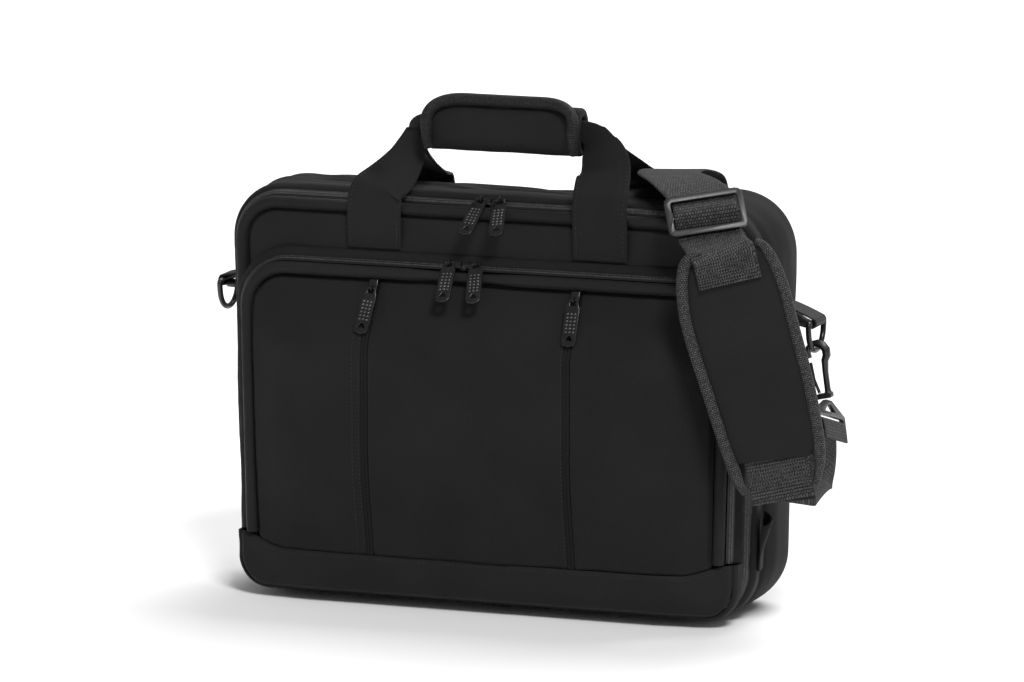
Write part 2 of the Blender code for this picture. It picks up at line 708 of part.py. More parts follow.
def build_rings():
    """A webbing tab and a D-ring on each side of the bag."""
    for side, word in ((-1, "left"), (1, "right")):
        middle = ring_frame(side)
        half = RING_HALF + RING_WIRE
        drop = RING_DROP + RING_WIRE
        points = [middle + Vector((0, y * half, 0)) for y in (-0.75, 0.0, 0.75)]
        for k in range(13):
            t = math.pi * k / 12
            points.append(middle + Vector((0, half * math.cos(t), -drop * math.sin(t) ** 0.8 - 0.0012)))
        tube("dring_" + word, points, RING_WIRE, "metal", cyclic=True, sides=1)
        wrap = RING_WIRE + TAB / 2 + 2 * GAP
        reach = TAB_REACH if side > 0 else LEFT_REACH
        droop = TAB_DROOP if side > 0 else TAB_DROOP * 0.45
        root = middle.x - side * (reach - 0.0012)
        near = middle.x - side * 0.50 * reach
        upper = wrap + droop * 0.55
        route = [Vector((root, RING_Y, middle.z + droop + 0.0030)), Vector((near, RING_Y, middle.z + upper))]
        for k in range(7):
            t = math.radians(75 - 190 * k / 6)
            route.append(middle + Vector((side * wrap * math.cos(t), 0, wrap * math.sin(t))))
        route += [Vector((near, RING_Y, middle.z - 0.0012)), Vector((root, RING_Y, middle.z + droop - 0.0040))]
        ribbon("dring_tab_" + word, route, [Vector((0, 1, 0))] * len(route), [TAB_WIDTH] * len(route), "webbing", TAB)


def hook_frame(side):
    """Frame of a swivel hook: origin at the ring's wire, -Z down the hook, X across its eye, Y across the base."""
    bar = ring_frame(side)
    if side > 0:
        seat = bar + Vector((0, 0, -(RING_DROP + RING_WIRE) - 0.0012))
        return Matrix.Translation(seat) @ Matrix.Rotation(math.radians(-HOOK_LEAN), 4, "Y")
    seat = bar + Vector((0, RING_HALF + RING_WIRE - 0.0010, -0.42 * RING_DROP))
    down = Vector((0.42, 1.0, -0.16)).normalized()
    across = Vector((-1, 0.42, 0)).normalized()
    y = (-down).cross(across)
    turned = Matrix((across, y, -down)).transposed().to_4x4()
    return Matrix.Translation(seat) @ turned


def build_hooks():
    """The right swivel hook in its three pieces, and the left one, hidden behind the bag, in one."""
    for side, word in ((1, "right"), (-1, "left")):
        place = hook_frame(side)
        top = Vector((0.0005, 0, RING_WIRE + HOOK_WIRE + 2 * GAP))
        eye = HOOK_WIDE
        path = []
        for k in range(9):
            t = math.radians(200 - 250 * k / 8)
            path.append(top + Vector((eye * math.cos(t) * 0.95, 0, -eye + eye * math.sin(t))))
        path.append(top + Vector((0.42 * eye, 0, -0.55 * HOOK_LONG)))
        path.append(top + Vector((0.28 * eye, 0, -0.86 * HOOK_LONG)))
        path.append(top + Vector((0.24 * eye, 0, -HOOK_LONG)))
        radii = [0.9, 1.05, 1.05, 1.1, 1.2, 1.3, 1.35, 1.3, 1.15, 0.95, 0.95, 1.25]
        name = "hook_frame_right" if side > 0 else "hook_left"
        frame = as_mesh(tube(name, [place @ point for point in path], HOOK_WIRE, "plastic", sides=1, radii=radii), "plastic")
        foot = top + Vector((0, 0, -HOOK_LONG))
        seat = place @ Matrix.Translation(foot + Vector((-0.0010, 0, 0.0010)))
        join(frame, block(name + "_collar", (0.0120, 0.0080, 0.0040), seat, "plastic", 0.0008))
        nose = path[0]
        gate_foot = foot + Vector((-0.0048, 0, 0.0030 + 2 * GAP))
        gate_head = Vector((nose.x + 0.0004, nose.y, nose.z - HOOK_WIRE * 1.35))
        gate = [gate_head, gate_head * 0.45 + gate_foot * 0.55 + Vector((-0.0012, 0, 0)), gate_foot]
        if side > 0:
            tube("hook_gate_right", [place @ point for point in gate], HOOK_WIRE / 2, "metal", sides=1)
            HOOK_BASE["gate"] = place @ gate_foot
        meet = -0.0010 - GAP - 0.0016 if side > 0 else 0.0
        base_frame = place @ Matrix.Translation(foot + Vector((0, 0, meet)))
        base_frame = base_frame @ Matrix.Rotation(math.radians(-16 if side > 0 else 0), 4, "X")
        base_frame = base_frame @ Matrix(((0, 0, 1, 0), (1, 0, 0, 0), (0, 1, 0, 0), (0, 0, 0, 1)))
        outer = [(-0.0055, 0.0), (-BASE_LONG / 2, -0.42 * BASE_WIDE), (-BASE_LONG / 2, -BASE_WIDE + 0.003),
                 (-BASE_LONG / 2 + 0.003, -BASE_WIDE), (BASE_LONG / 2 - 0.003, -BASE_WIDE), (BASE_LONG / 2, -BASE_WIDE + 0.003),
                 (BASE_LONG / 2, -0.42 * BASE_WIDE), (0.0055, 0.0)]
        slot = moved(rounded(BASE_LONG - 0.0100, 0.0075, 0.0020, 2), 0, -BASE_WIDE + 0.0085)
        window = [(-0.0030, -0.0035), (-0.0110, -0.0090), (0.0110, -0.0090), (0.0030, -0.0035)]
        if side > 0:
            plate("hook_base_right", [outer, slot, list(reversed(window))], BASE_THICK, base_frame, "plastic")
        else:
            base = as_mesh(plate("hook_base_left", [outer, slot], BASE_THICK, base_frame, "plastic"), "plastic")
            join(frame, base)
        HOOK_BASE[word] = base_frame


HOOK_BASE = {}


def pad_line():
    """Stations of the shoulder pad from its upper to its lower end: middle, width direction and width share."""
    table = (
        # x, y and z as shares of the half width, the depth and the height; width share; turn about the height
        (0.9369, -0.494, 0.915, 0.82, 24),
        (0.9517, -0.486, 0.871, 0.93, 24),
        (0.9714, -0.472, 0.806, 1.00, 23),
        (0.9990, -0.456, 0.727, 1.00, 23),
        (1.0404, -0.438, 0.629, 0.98, 22),
        (1.0789, -0.424, 0.531, 0.95, 22),
        (1.1065, -0.415, 0.453, 0.90, 22),
        (1.1242, -0.409, 0.392, 0.83, 22),
    )
    made = []
    for x, y, z, width, turn in table:
        angle = math.radians(turn)
        made.append((at(x, y, z), Vector((math.cos(angle), math.sin(angle), -0.02)), width * PAD_WIDTH))
    return made


def round_bar(slot, drop, first, wide):
    """Stations of webbing that comes up on one side of a hook's bar, through its slot and down the other."""
    off = BASE_THICK / 2 + WEB / 2 + 2 * GAP
    shares = ((2.4, 0.0190), (1.25, 0.0070), (0.85, 0.0006), (0.0, -0.0008), (-0.85, 0.0006), (-1.15, 0.0060), (-1.15, 0.0150))
    return [(slot + first * off * share + drop * down, wide) for share, down in shares]


def build_strap():
    """The padded part of the shoulder strap, its bound edges, the webbing and the tri-glide."""
    line = pad_line()
    centres = [c for c, _, _ in line]
    across = [a for _, a, _ in line]
    widths = [w for _, _, w in line]
    made = [(centre, along, side, -normal) for centre, along, side, normal in frames(centres, across)]
    bm = bmesh.new()
    rings = []
    for (centre, _, side, normal), width in zip(made, widths):
        half = width / 2 - 2 * BINDING - GAP
        ring = []
        for share, depth in ((-1, 0.62), (-0.6, 0.95), (0, 1.0), (0.6, 0.95), (1, 0.62), (1, -0.62), (0, -0.9), (-1, -0.62)):
            ring.append(bm.verts.new(centre + side * half * share + normal * PAD_THICK / 2 * depth))
        rings.append(ring)
    for one, two in zip(rings, rings[1:]):
        for i in range(8):
            j = (i + 1) % 8
            bm.faces.new((one[i], one[j], two[j], two[i]))
    bm.faces.new(tuple(reversed(rings[0])))
    bm.faces.new(tuple(rings[-1]))
    bmesh.ops.recalc_face_normals(bm, faces=bm.faces)
    mesh = bpy.data.meshes.new("shoulder_pad")
    bm.to_mesh(mesh)
    bm.free()
    pad = bpy.data.objects.new("shoulder_pad", mesh)
    BAG.objects.link(pad)
    finish(pad, "cloth")
    for word, sign in (("left", -1), ("right", 1)):
        edge = [c + s * sign * (w / 2 - BINDING) for (c, _, s, _), w in zip(made, widths)]
        tube("pad_binding_" + word, smooth_route(edge, 2), BINDING, "binding", sides=1)

    # Tri-glide: two long bars and a middle bar, the webbing over the middle one
    middle = at(0.8313, -0.325, 1.0000)
    long_way = Vector((0.893, 0.406, 0.140)).normalized()
    up_way = Vector((-0.42, 0.42, 0.80))
    glide = axes(middle, long_way, long_way.cross(up_way))
    slot_wide = (GLIDE_WIDE - 3 * GLIDE_BAR) / 2
    reach = GLIDE_BAR / 2 + slot_wide / 2
    slots = [moved(rounded(GLIDE_LONG - 2 * GLIDE_BAR, slot_wide, 0.0015, 2), 0, sign * reach) for sign in (-1, 1)]
    plate("tri_glide", [rounded(GLIDE_LONG, GLIDE_WIDE, 0.0055)] + slots, GLIDE_THICK, glide, "plastic")
    out = glide.to_3x3() @ Vector((0, 0, 1))
    up = glide.to_3x3() @ Vector((0, 1, 0))
    lift = GLIDE_THICK / 2 + WEB / 2 + GAP
    half = GLIDE_WIDE / 2
    top = made[0]
    second = made[1]
    on_pad = PAD_THICK / 2 + WEB / 2 + 3 * GAP
    route = [
        (second[0] + second[3] * on_pad, second[2]),
        (top[0] * 0.45 + second[0] * 0.55 + top[3] * on_pad, top[2]),
        (top[0] + top[3] * on_pad, top[2]),
        (top[0] - top[1] * 0.0050 + top[3] * on_pad, top[2]),
        (middle - up * (half + 0.0085) - out * 0.0040, long_way * 0.7 + top[2] * 0.3),
        (middle - up * (half + 0.0015) - out * lift, long_way),
        (middle - up * (half - GLIDE_BAR) - out * (lift * 1.1), long_way),
        (middle - up * (GLIDE_BAR / 2 + 0.0008) + out * lift * 1.1, long_way),
        (middle + out * (lift + 0.0004), long_way),
        (middle + up * (GLIDE_BAR / 2 + 0.0008) + out * lift * 1.1, long_way),
        (middle + up * (half - GLIDE_BAR) - out * (lift * 1.1), long_way),
        (middle + up * (half + 0.0015) - out * lift, long_way),
        (middle + up * (half + 0.0095) - out * 0.0080, long_way),
        (at(0.7120, -0.110, 1.0340), Vector((0.84, 0.54, 0.05))),
        (at(0.6706, 0.110, 1.0420), Vector((0.84, 0.54, 0.0))),
        (at(0.6469, 0.340, 1.0370), Vector((0.95, 0.31, 0.0))),
        (at(0.6361, 0.520, 1.0150), Vector((0.99, 0.10, 0.0))),
        (at(0.6262, 0.585, 0.9700), Vector((1, 0, 0.0))),
        (at(0.5818, 0.595, 0.9000), Vector((1, 0, -0.15))),
    ]
    back = HOOK_BASE["left"]
    slot_low = back @ Vector((0, -BASE_WIDE + 0.0085, 0))
    back_drop = (back.to_3x3() @ Vector((0, -1, 0))).normalized()
    back_wide = (back.to_3x3() @ Vector((1, 0, 0))).normalized()
    back_out = (back.to_3x3() @ Vector((0, 0, 1))).normalized()
    route += [
        (at(0.3747, 0.595, 0.720), Vector((0.75, 0, -0.65))),
        (at(0.0789, 0.600, 0.560), Vector((0.45, 0, -0.9))),
        (at(-0.2959, 0.615, 0.490), Vector((0.05, 0, -1))),
        (at(-0.6114, 0.660, 0.520), Vector((-0.15, 0, -1))),
        (slot_low + back_drop * 0.0350 + back_out * 0.0050, back_wide * 0.8 + Vector((0, 0, -0.2))),
    ]
    route += round_bar(slot_low, back_drop, back_out, back_wide)
    ribbon("strap_long", [c for c, _ in route], [a for _, a in route], [WEB_WIDTH] * len(route), "webbing", WEB)

    # Short webbing: out under the pad's lower end, folded, and up behind the pad to the right hook
    low = made[-1]
    down = (made[-1][0] - made[-2][0]).normalized()
    fold = low[0] + down * 0.0190
    behind = -low[3]
    right = HOOK_BASE["right"]
    slot = right @ Vector((0, -BASE_WIDE + 0.0085, 0))
    bar_way = (right.to_3x3() @ Vector((1, 0, 0))).normalized()
    drop = (right.to_3x3() @ Vector((0, -1, 0))).normalized()
    half_fold = 0.0024
    route = [
        (low[0] + down * 2 * GAP, low[2]),
        (fold - down * 0.0015 + low[3] * 0.0, low[2]),
        (fold + down * 0.0006 + behind * half_fold, low[2]),
        (fold - down * 0.0015 + behind * 2 * half_fold, low[2]),
    ]
    start = fold - down * 0.0120 + behind * 0.0080
    under = slot + drop * 0.0200 + (right.to_3x3() @ Vector((0, 0, -1))).normalized() * 0.0050
    route += [(start.lerp(under, share), low[2] * (1 - share) + bar_way * share) for share in (0.0, 0.33, 0.67)]
    route += round_bar(slot, drop, (right.to_3x3() @ Vector((0, 0, -1))).normalized(), bar_way)
    ribbon("strap_short", [c for c, _ in route], [a for _, a in route], [WEB_WIDTH] * len(route), "webbing", WEB)


def pull_loops():
    """A pull's outline, its eye and its tip hole; the bar of the eye lies on the origin and the pull runs along -Y."""
    half = PULL_WIDE / 2
    bar = EYE_BAR / 2
    right = [(0.58 * half, bar), (half, -0.20 * PULL_LONG), (half, -0.90 * PULL_LONG), (0.80 * half, -0.965 * PULL_LONG)]
    outline = right + [(0.0, -PULL_LONG)] + [(-x, y) for x, y in reversed(right)]
    eye = [(0.0024, -bar), (-0.0024, -bar), (-0.0024, -bar - 0.0036), (0.0024, -bar - 0.0036)]
    tip = [(0.0008, -0.765 * PULL_LONG), (-0.0008, -0.765 * PULL_LONG), (-0.0028, -0.87 * PULL_LONG), (0.0028, -0.87 * PULL_LONG)]
    return [outline, eye, tip]


def rest_lean(eye, clear):
    """Smallest angle, out from straight down, at which a pull's back clears what lies under it."""
    for degrees in range(0, 90):
        lean = math.radians(degrees)
        hang = Vector((0, -math.sin(lean), -math.cos(lean)))
        back = Vector((0, math.cos(lean), -math.sin(lean))) * (PULL_THICK / 2 + 2 * GAP)
        if all(clear(eye + hang * (PULL_LONG * k / 24) + back) for k in range(3, 25)):
            return lean
    return math.radians(90)


def outside_roll(y, z, radius):
    """Whether a point lies outside a level roll."""
    return lambda point: math.hypot(point.y - y, point.z - z) > radius


def build_pull(name, seat, outward, size, eye_shift, clear, tilt):
    """A slider seated on a zip, and the pull whose eye hangs from the slider's lug."""
    wide, deep = size
    frame = axes(seat + outward * (SLIDER_THICK / 2 + GAP), Vector((1, 0, 0)), outward)
    slider = block(name + "_slider", (wide, deep, SLIDER_THICK), frame, "metal", 0.0006)
    across = frame.to_3x3() @ Vector((0, 1, 0))
    above = EYE_BAR * 0.75 + 0.0007
    eye = seat + outward * (SLIDER_THICK + GAP + above) - across * eye_shift[1] + Vector((eye_shift[0], 0, 0))
    ring = LUG_INNER + LUG_WIRE
    arch = [eye + across * ring * math.cos(t) + outward * ring * math.sin(t) for t in [math.pi * k / 5 for k in range(6)]]
    arch = [arch[0] - outward * (above + 0.0008)] + arch + [arch[-1] - outward * (above + 0.0008)]
    join(slider, as_mesh(tube(name + "_lug", arch, LUG_WIRE, "metal", sides=0), "metal"))
    lean = rest_lean(eye, clear)
    facing = Vector((0, -math.cos(lean), math.sin(lean)))
    bar = Matrix.Rotation(math.radians(tilt), 3, facing) @ Vector((1, 0, 0))
    plate(name + "_pull", pull_loops(), PULL_THICK, axes(eye, bar, facing), "metal")
    PULL_EYES[name + "_pull"] = (eye, bar, math.degrees(lean))


PULL_EYES = {}


def build_pulls():
    """Two pulls on the main zip, two on the pocket's zip and one at the head of each vertical zip."""
    top_roll = outside_roll(FRONT_Y + 0.0012, HEIGHT - ROLL_INSET, ROLL)
    pocket_roll = outside_roll(FACE_Y + 0.0012, POCKET_HIGH - POCKET_ROLL_INSET, ROLL * 0.76)
    level = (SLIDER_LONG, SLIDER_WIDE)
    for word, x, shift, tilt in (("left", -0.0062, -0.0014, -6), ("right", 0.0062, 0.0013, 10.5)):
        (low, front), (high, back) = MAIN_COIL
        seat = Vector((x, FRONT_Y - (front + back) / 2, HEIGHT - (low + high) / 2))
        outward = Vector((0, -(low - high), front - back)).normalized()
        build_pull("main_" + word, seat, outward, level, (shift, 0.0004), top_roll, tilt)
    face_clear = (lambda point: pocket_roll(point) and (point.z > FACE.high - 0.0005
                                                        or point.y < pocket_depth_at(point.x, point.z) - GAP))
    for word, x, shift, tilt in (("left", -0.0226, -0.0028, 4), ("right", -0.0070, 0.0028, 10)):
        (high, front), (low, back) = POCKET_COIL
        seat = Vector((x, FRONT_Y - (front + back) / 2, POCKET_HIGH - (high + low) / 2))
        outward = Vector((0, -(low - high), back - front)).normalized()
        build_pull("pocket_" + word, seat, outward, level, (shift, 0.0004), face_clear, tilt)
    for word, x, tilt in (("left", -SEAM_LEFT, -6), ("right", SEAM_RIGHT, 1.5)):
        z = FACE.high - 0.0062
        low, high = pocket_depth_at(x, z - 0.0050), pocket_depth_at(x, z + 0.0030)
        outward = Vector((0, -0.0080, high - low)).normalized()
        seat = Vector((x, min(pocket_depth_at(x, z), (low + high) / 2) - 0.0003, z))
        build_pull("placket_" + word, seat, outward, (SLIDER_WIDE, SLIDER_LONG), (0.0, 0.0020), face_clear, tilt)


def build_side_pocket():
    """The open slip pocket low on the right side of the main gusset."""
    outer = []
    low, top = MAIN.low + FOOT_RADIUS, SIDE_POCKET_HIGH
    for k in range(7):
        level = low + (top - low) * k / 6
        stand = 0.0006 + SIDE_POCKET_OPEN * rise(k / 6) ** 1.5
        rise_back = SIDE_POCKET_SLOPE * k / 6
        row = []
        for share, out in ((0.0, 0.0), (0.25, 0.80), (0.5, 1.0), (0.75, 0.80), (1.0, 0.0)):
            y = SIDE_POCKET_FRONT + (SIDE_POCKET_BACK - SIDE_POCKET_FRONT) * share
            z = level + rise_back * (share - 0.5)
            side = pinched(Vector((MAIN.edge(z), y, z)))
            row.append(side + Vector((SIDE_POCKET_WALL + GAP + stand * out, 0, 0)))
        outer.append(row)
    shell("side_slip_pocket", outer, "cloth", thickness=SIDE_POCKET_WALL)


BAG = CUTTERS = ROOT = None


def main():
    """Clears the scene and builds every piece of the bag."""
    global BAG, CUTTERS, ROOT
    for old in list(bpy.data.objects):
        bpy.data.objects.remove(old)
    BAG = bpy.data.collections.new("convertible_backpack")
    CUTTERS = bpy.data.collections.new("cutters")
    bpy.context.scene.collection.children.link(BAG)
    bpy.context.scene.collection.children.link(CUTTERS)
    ROOT = bpy.data.objects.new("bag", None)
    BAG.objects.link(ROOT)
    build_main()
    build_pocket()
    build_handle()
    build_rings()
    build_hooks()
    build_strap()
    build_pulls()
    build_side_pocket()


if __name__ == "__main__":
    main()
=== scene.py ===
"""Looks of a convertible backpack: cloth, rolls, zips, padding, webbing, fittings, floor, light, camera."""
import bisect
import logging
import math
from collections.abc import Callable, Sequence
from dataclasses import dataclass, field
from enum import Enum
from functools import cached_property, lru_cache

import bmesh
import bpy
from mathutils import Matrix, Vector, noise


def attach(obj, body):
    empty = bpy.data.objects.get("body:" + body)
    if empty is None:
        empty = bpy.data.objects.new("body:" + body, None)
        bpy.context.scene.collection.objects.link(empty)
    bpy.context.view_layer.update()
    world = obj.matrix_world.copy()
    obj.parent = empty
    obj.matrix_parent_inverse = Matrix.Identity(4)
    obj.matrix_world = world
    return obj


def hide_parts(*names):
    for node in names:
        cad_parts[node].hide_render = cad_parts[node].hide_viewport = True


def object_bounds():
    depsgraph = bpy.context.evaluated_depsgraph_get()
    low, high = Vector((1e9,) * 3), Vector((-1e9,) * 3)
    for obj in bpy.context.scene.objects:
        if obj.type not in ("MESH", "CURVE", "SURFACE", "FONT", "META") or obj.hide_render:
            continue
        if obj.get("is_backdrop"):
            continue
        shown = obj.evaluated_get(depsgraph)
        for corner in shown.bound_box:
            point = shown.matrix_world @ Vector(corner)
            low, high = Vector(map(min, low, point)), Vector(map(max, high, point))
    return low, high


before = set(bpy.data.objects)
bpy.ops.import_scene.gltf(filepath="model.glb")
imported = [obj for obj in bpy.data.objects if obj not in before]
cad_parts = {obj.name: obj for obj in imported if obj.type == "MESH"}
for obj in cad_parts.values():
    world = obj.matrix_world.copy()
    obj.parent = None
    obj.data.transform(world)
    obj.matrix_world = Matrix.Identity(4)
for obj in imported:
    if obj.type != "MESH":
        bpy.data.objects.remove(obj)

CAD_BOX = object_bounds()
LOG = logging.getLogger("backpack")
FLOOR_GAP = 0.0003
FORWARD = Vector((0, -1, 0))

Place = Callable[[float, float], Vector]
Spot = tuple[float, float]


def rise(t: float) -> float:
    """Smooth step from 0 to 1."""
    t = min(1.0, max(0.0, t))
    return t * t * (3 - 2 * t)


def crowd(t: float, strength: float = 0.75) -> float:
    """A share moved so that more of them lie near 0 and near 1."""
    return t - strength * math.sin(2 * math.pi * t) / (2 * math.pi)


def ripple(x: float, y: float, z: float) -> float:
    """Smooth unevenness between about -1 and 1."""
    return noise.noise(Vector((x, y, z)))


def paced(points: Sequence[Sequence[float]]) -> list[float]:
    """Length from the first of some points to each of them."""
    made = [0.0]
    for a, b in zip(points, points[1:]):
        made.append(made[-1] + math.dist(a, b))
    return made


def located(marks: Sequence[float], goal: float) -> tuple[int, float]:
    """The mark before a length, and the share of the way from there to the next."""
    k = min(max(bisect.bisect_right(marks, goal) - 1, 0), len(marks) - 2)
    return k, (goal - marks[k]) / max(marks[k + 1] - marks[k], 1e-9)


def curve(a: float, b: float, c: float, d: float, t: float) -> float:
    """A smooth curve's value at a share of the way from b to c, with a before them and d after them."""
    cube = (3 * b - a - 3 * c + d) * t ** 3
    return 0.5 * (2 * b + (c - a) * t + (2 * a - 5 * b + 4 * c - d) * t * t + cube)


# Outlines of the bag's soft parts


class Run(Enum):
    """Which part of an outline a strip of cloth runs along."""

    WHOLE = "all the way round"
    HEAD = "up the right side, over the top and down the left side"
    FOOT = "down the left side, along the foot and up the right side"


@dataclass(frozen=True)
class Outline:
    """A rounded outline in the XZ plane: half widths at head and foot, two levels and two corner radii."""

    half_top: float
    half_foot: float
    low: float
    high: float
    top_radius: float
    foot_radius: float
    middle: float = 0.0

    def half(self, z: float) -> float:
        """Half width of the straight side at a height."""
        return self.half_foot + (self.half_top - self.half_foot) * (z - self.low) / (self.high - self.low)

    def inset(self, by: float) -> "Outline":
        """The same outline drawn in by a distance."""
        return Outline(self.half_top - by, self.half_foot - by, self.low + by, self.high - by,
                       max(self.top_radius - by, 0.002), max(self.foot_radius - by, 0.002), self.middle)

    def edge(self, z: float) -> float:
        """Half width of the outline at a height, corners counted."""
        if z > self.high - self.top_radius:
            bend = self.high - self.top_radius
            up = min(1.0, (z - bend) / self.top_radius)
            return self.half(bend) - self.top_radius * (1 - math.sqrt(1 - up * up))
        if z < self.low + self.foot_radius:
            bend = self.low + self.foot_radius
            drop = min(1.0, (bend - z) / self.foot_radius)
            return self.half(bend) - self.foot_radius * (1 - math.sqrt(1 - drop * drop))
        return self.half(z)

    def left(self, z: float) -> float:
        """Where the outline's left side lies at a height."""
        return self.middle - self.edge(z)

    def right(self, z: float) -> float:
        """Where the outline's right side lies at a height."""
        return self.middle + self.edge(z)

    def within(self, x: float, z: float) -> float:
        """How far inside the outline a point lies."""
        radius = self.top_radius if z > (self.low + self.high) / 2 else self.foot_radius
        beside = self.half(z) - abs(x - self.middle)
        above = min(self.high - z, z - self.low)
        if beside < radius and above < radius:
            return radius - math.hypot(radius - beside, radius - above)
        return min(beside, above)

    def corner(self, head: bool, side: int) -> list[Spot]:
        """Points of one corner, anticlockwise as the front sees it."""
        radius = self.top_radius if head else self.foot_radius
        z = self.high - radius if head else self.low + radius
        x = self.middle + side * (self.half(z) - radius)
        start = {(True, 1): 0, (True, -1): 90, (False, -1): 180, (False, 1): 270}[(head, side)]
        turns = [math.radians(start + 90 * k / 20) for k in range(21)]
        return [(x + radius * math.cos(t), z + radius * math.sin(t)) for t in turns]


def between(a: Spot, b: Spot, steps: int) -> list[Spot]:
    """Points on the straight line from a to b, without its ends."""
    return [(a[0] + (b[0] - a[0]) * j / steps, a[1] + (b[1] - a[1]) * j / steps) for j in range(1, steps)]


@lru_cache(maxsize=None)
def run_points(outline: Outline, run: Run, level: float) -> tuple[Spot, ...]:
    """The points of a run, as many for every inset of an outline.

    Args:
        outline: The outline that is followed.
        run: Which part of it.
        level: Height at which a run over the head or along the foot starts and ends.

    Returns:
        The points in order, anticlockwise as the front sees them.
    """
    first = (outline.middle + outline.half(level), level)
    last = (outline.middle - outline.half(level), level)
    head = [outline.corner(True, 1), outline.corner(True, -1)]
    foot = [outline.corner(False, -1), outline.corner(False, 1)]
    over = head[0] + between(head[0][-1], head[1][0], 48) + head[1]
    under = foot[0] + between(foot[0][-1], foot[1][0], 48) + foot[1]
    if run is Run.HEAD:
        return tuple([first] + between(first, over[0], 24) + over + between(over[-1], last, 24) + [last])
    if run is Run.FOOT:
        return tuple([last] + between(last, under[0], 24) + under + between(under[-1], first, 24) + [first])
    return tuple(foot[1] + between(foot[1][-1], over[0], 24) + over + between(over[-1], under[0], 24)
                 + foot[0] + between(foot[0][-1], foot[1][0], 48) + [foot[1][0]])


@dataclass(frozen=True)
class Rail:
    """A run round an outline and its insets, paced by the length of the outer edge."""

    outline: Outline
    run: Run = Run.WHOLE
    level: float = 0.0

    @cached_property
    def marks(self) -> list[float]:
        """Length from the start to each point of the run."""
        return paced(run_points(self.outline, self.run, self.level))

    @property
    def length(self) -> float:
        """Length of the whole run."""
        return self.marks[-1]

    def at(self, u: float, inset: float = 0.0) -> Spot:
        """A point of the run at a share of its length, drawn in by a distance."""
        k, share = located(self.marks, u * self.length)
        points = run_points(self.outline.inset(inset), self.run, self.level)
        (x0, z0), (x1, z1) = points[k], points[k + 1]
        return x0 + (x1 - x0) * share, z0 + (z1 - z0) * share

    def outward(self, u: float) -> Spot:
        """Direction that points out of the outline there."""
        (x0, z0), (x1, z1) = self.at(max(u - 0.0015, 0.0)), self.at(min(u + 0.0015, 1.0))
        length = math.hypot(x1 - x0, z1 - z0)
        return (z1 - z0) / length, (x0 - x1) / length


# Finishes


class Wiring:
    """The node tree of one material, with short calls for the nodes that it needs."""

    def __init__(self, name: str) -> None:
        self.material = bpy.data.materials.new(name)
        self.material.use_nodes = True
        self.tree = self.material.node_tree
        self.shader = self.tree.nodes["Principled BSDF"]
        self.texture = self.tree.nodes.new("ShaderNodeTexCoord")

    def add(self, kind: str, **settings: object) -> bpy.types.Node:
        """A node of a kind, with properties and input values set by name."""
        node = self.tree.nodes.new("ShaderNode" + kind)
        for key, value in settings.items():
            if hasattr(node, key):
                setattr(node, key, value)
            else:
                node.inputs[key.replace("_", " ")].default_value = value
        return node

    def link(self, source: bpy.types.NodeSocket, target: bpy.types.NodeSocket) -> None:
        """Joins two sockets."""
        self.tree.links.new(source, target)

    def scaled(self, space: str, scale: Sequence[float], turn: float = 0.0) -> bpy.types.NodeSocket:
        """Texture coordinates of the piece, scaled and turned about Z."""
        mapping = self.add("Mapping")
        mapping.inputs["Scale"].default_value = scale
        mapping.inputs["Rotation"].default_value = (0, 0, turn)
        self.link(self.texture.outputs[space], mapping.inputs["Vector"])
        return mapping.outputs["Vector"]

    def noise(self, space: str, scale: float, detail: float = 3.0) -> bpy.types.NodeSocket:
        """A noise value over the piece."""
        node = self.add("TexNoise", Scale=scale, Detail=detail)
        self.link(self.scaled(space, (1, 1, 1)), node.inputs["Vector"])
        return node.outputs["Fac"]

    def mixed(self, amount: bpy.types.NodeSocket, dark: Sequence[float], light: Sequence[float],
              low: float = 0.3, high: float = 0.7) -> bpy.types.NodeSocket:
        """A colour between two, by a value."""
        ramp = self.add("ValToRGB")
        ramp.color_ramp.elements[0].position = low
        ramp.color_ramp.elements[1].position = high
        ramp.color_ramp.elements[0].color = (*dark, 1)
        ramp.color_ramp.elements[1].color = (*light, 1)
        self.link(amount, ramp.inputs["Fac"])
        return ramp.outputs["Color"]

    def maths(self, operation: str, *values: bpy.types.NodeSocket | float) -> bpy.types.NodeSocket:
        """A value worked out from sockets and numbers."""
        node = self.add("Math", operation=operation)
        for value, socket in zip(values, node.inputs):
            if isinstance(value, bpy.types.NodeSocket):
                self.link(value, socket)
            else:
                socket.default_value = value
        return node.outputs[0]

    def bricks(self, place: bpy.types.NodeSocket, size: Spot, mortar: Spot,
               tones: Sequence[Sequence[float]]) -> bpy.types.Node:
        """Offset rows of threads or teeth.

        Args:
            place: Texture coordinates in millimetres.
            size: Width of one and height of a row, in metres.
            mortar: Share of the size between them, and how softly it ends.
            tones: Colours of one, of the next and of what lies between.

        Returns:
            The texture node.
        """
        brick = self.add("TexBrick", offset=0.5, offset_frequency=2, squash=1.0)
        for key, value in (("Scale", 1.0), ("Mortar Size", mortar[0]), ("Mortar Smooth", mortar[1]),
                           ("Bias", 0.0), ("Brick Width", size[0] * 1000), ("Row Height", size[1] * 1000)):
            brick.inputs[key].default_value = value
        for key, tone in zip(("Color1", "Color2", "Mortar"), tones):
            brick.inputs[key].default_value = (*tone, 1)
        self.link(place, brick.inputs["Vector"])
        return brick

    def bumps(self, layers: Sequence[tuple[bpy.types.NodeSocket, float, float]]) -> None:
        """Stacks reliefs, each a value with its height in metres and its strength, onto the surface."""
        before = None
        for height, distance, strength in layers:
            bump = self.add("Bump", Strength=strength, Distance=distance)
            self.link(height, bump.inputs["Height"])
            if before is not None:
                self.link(before, bump.inputs["Normal"])
            before = bump.outputs["Normal"]
        self.link(before, self.shader.inputs["Normal"])

    def surface(self, rough: float, **inputs: float) -> None:
        """Sets the shader's own values."""
        self.shader.inputs["Roughness"].default_value = rough
        for key, value in inputs.items():
            self.shader.inputs[key.replace("_", " ")].default_value = value


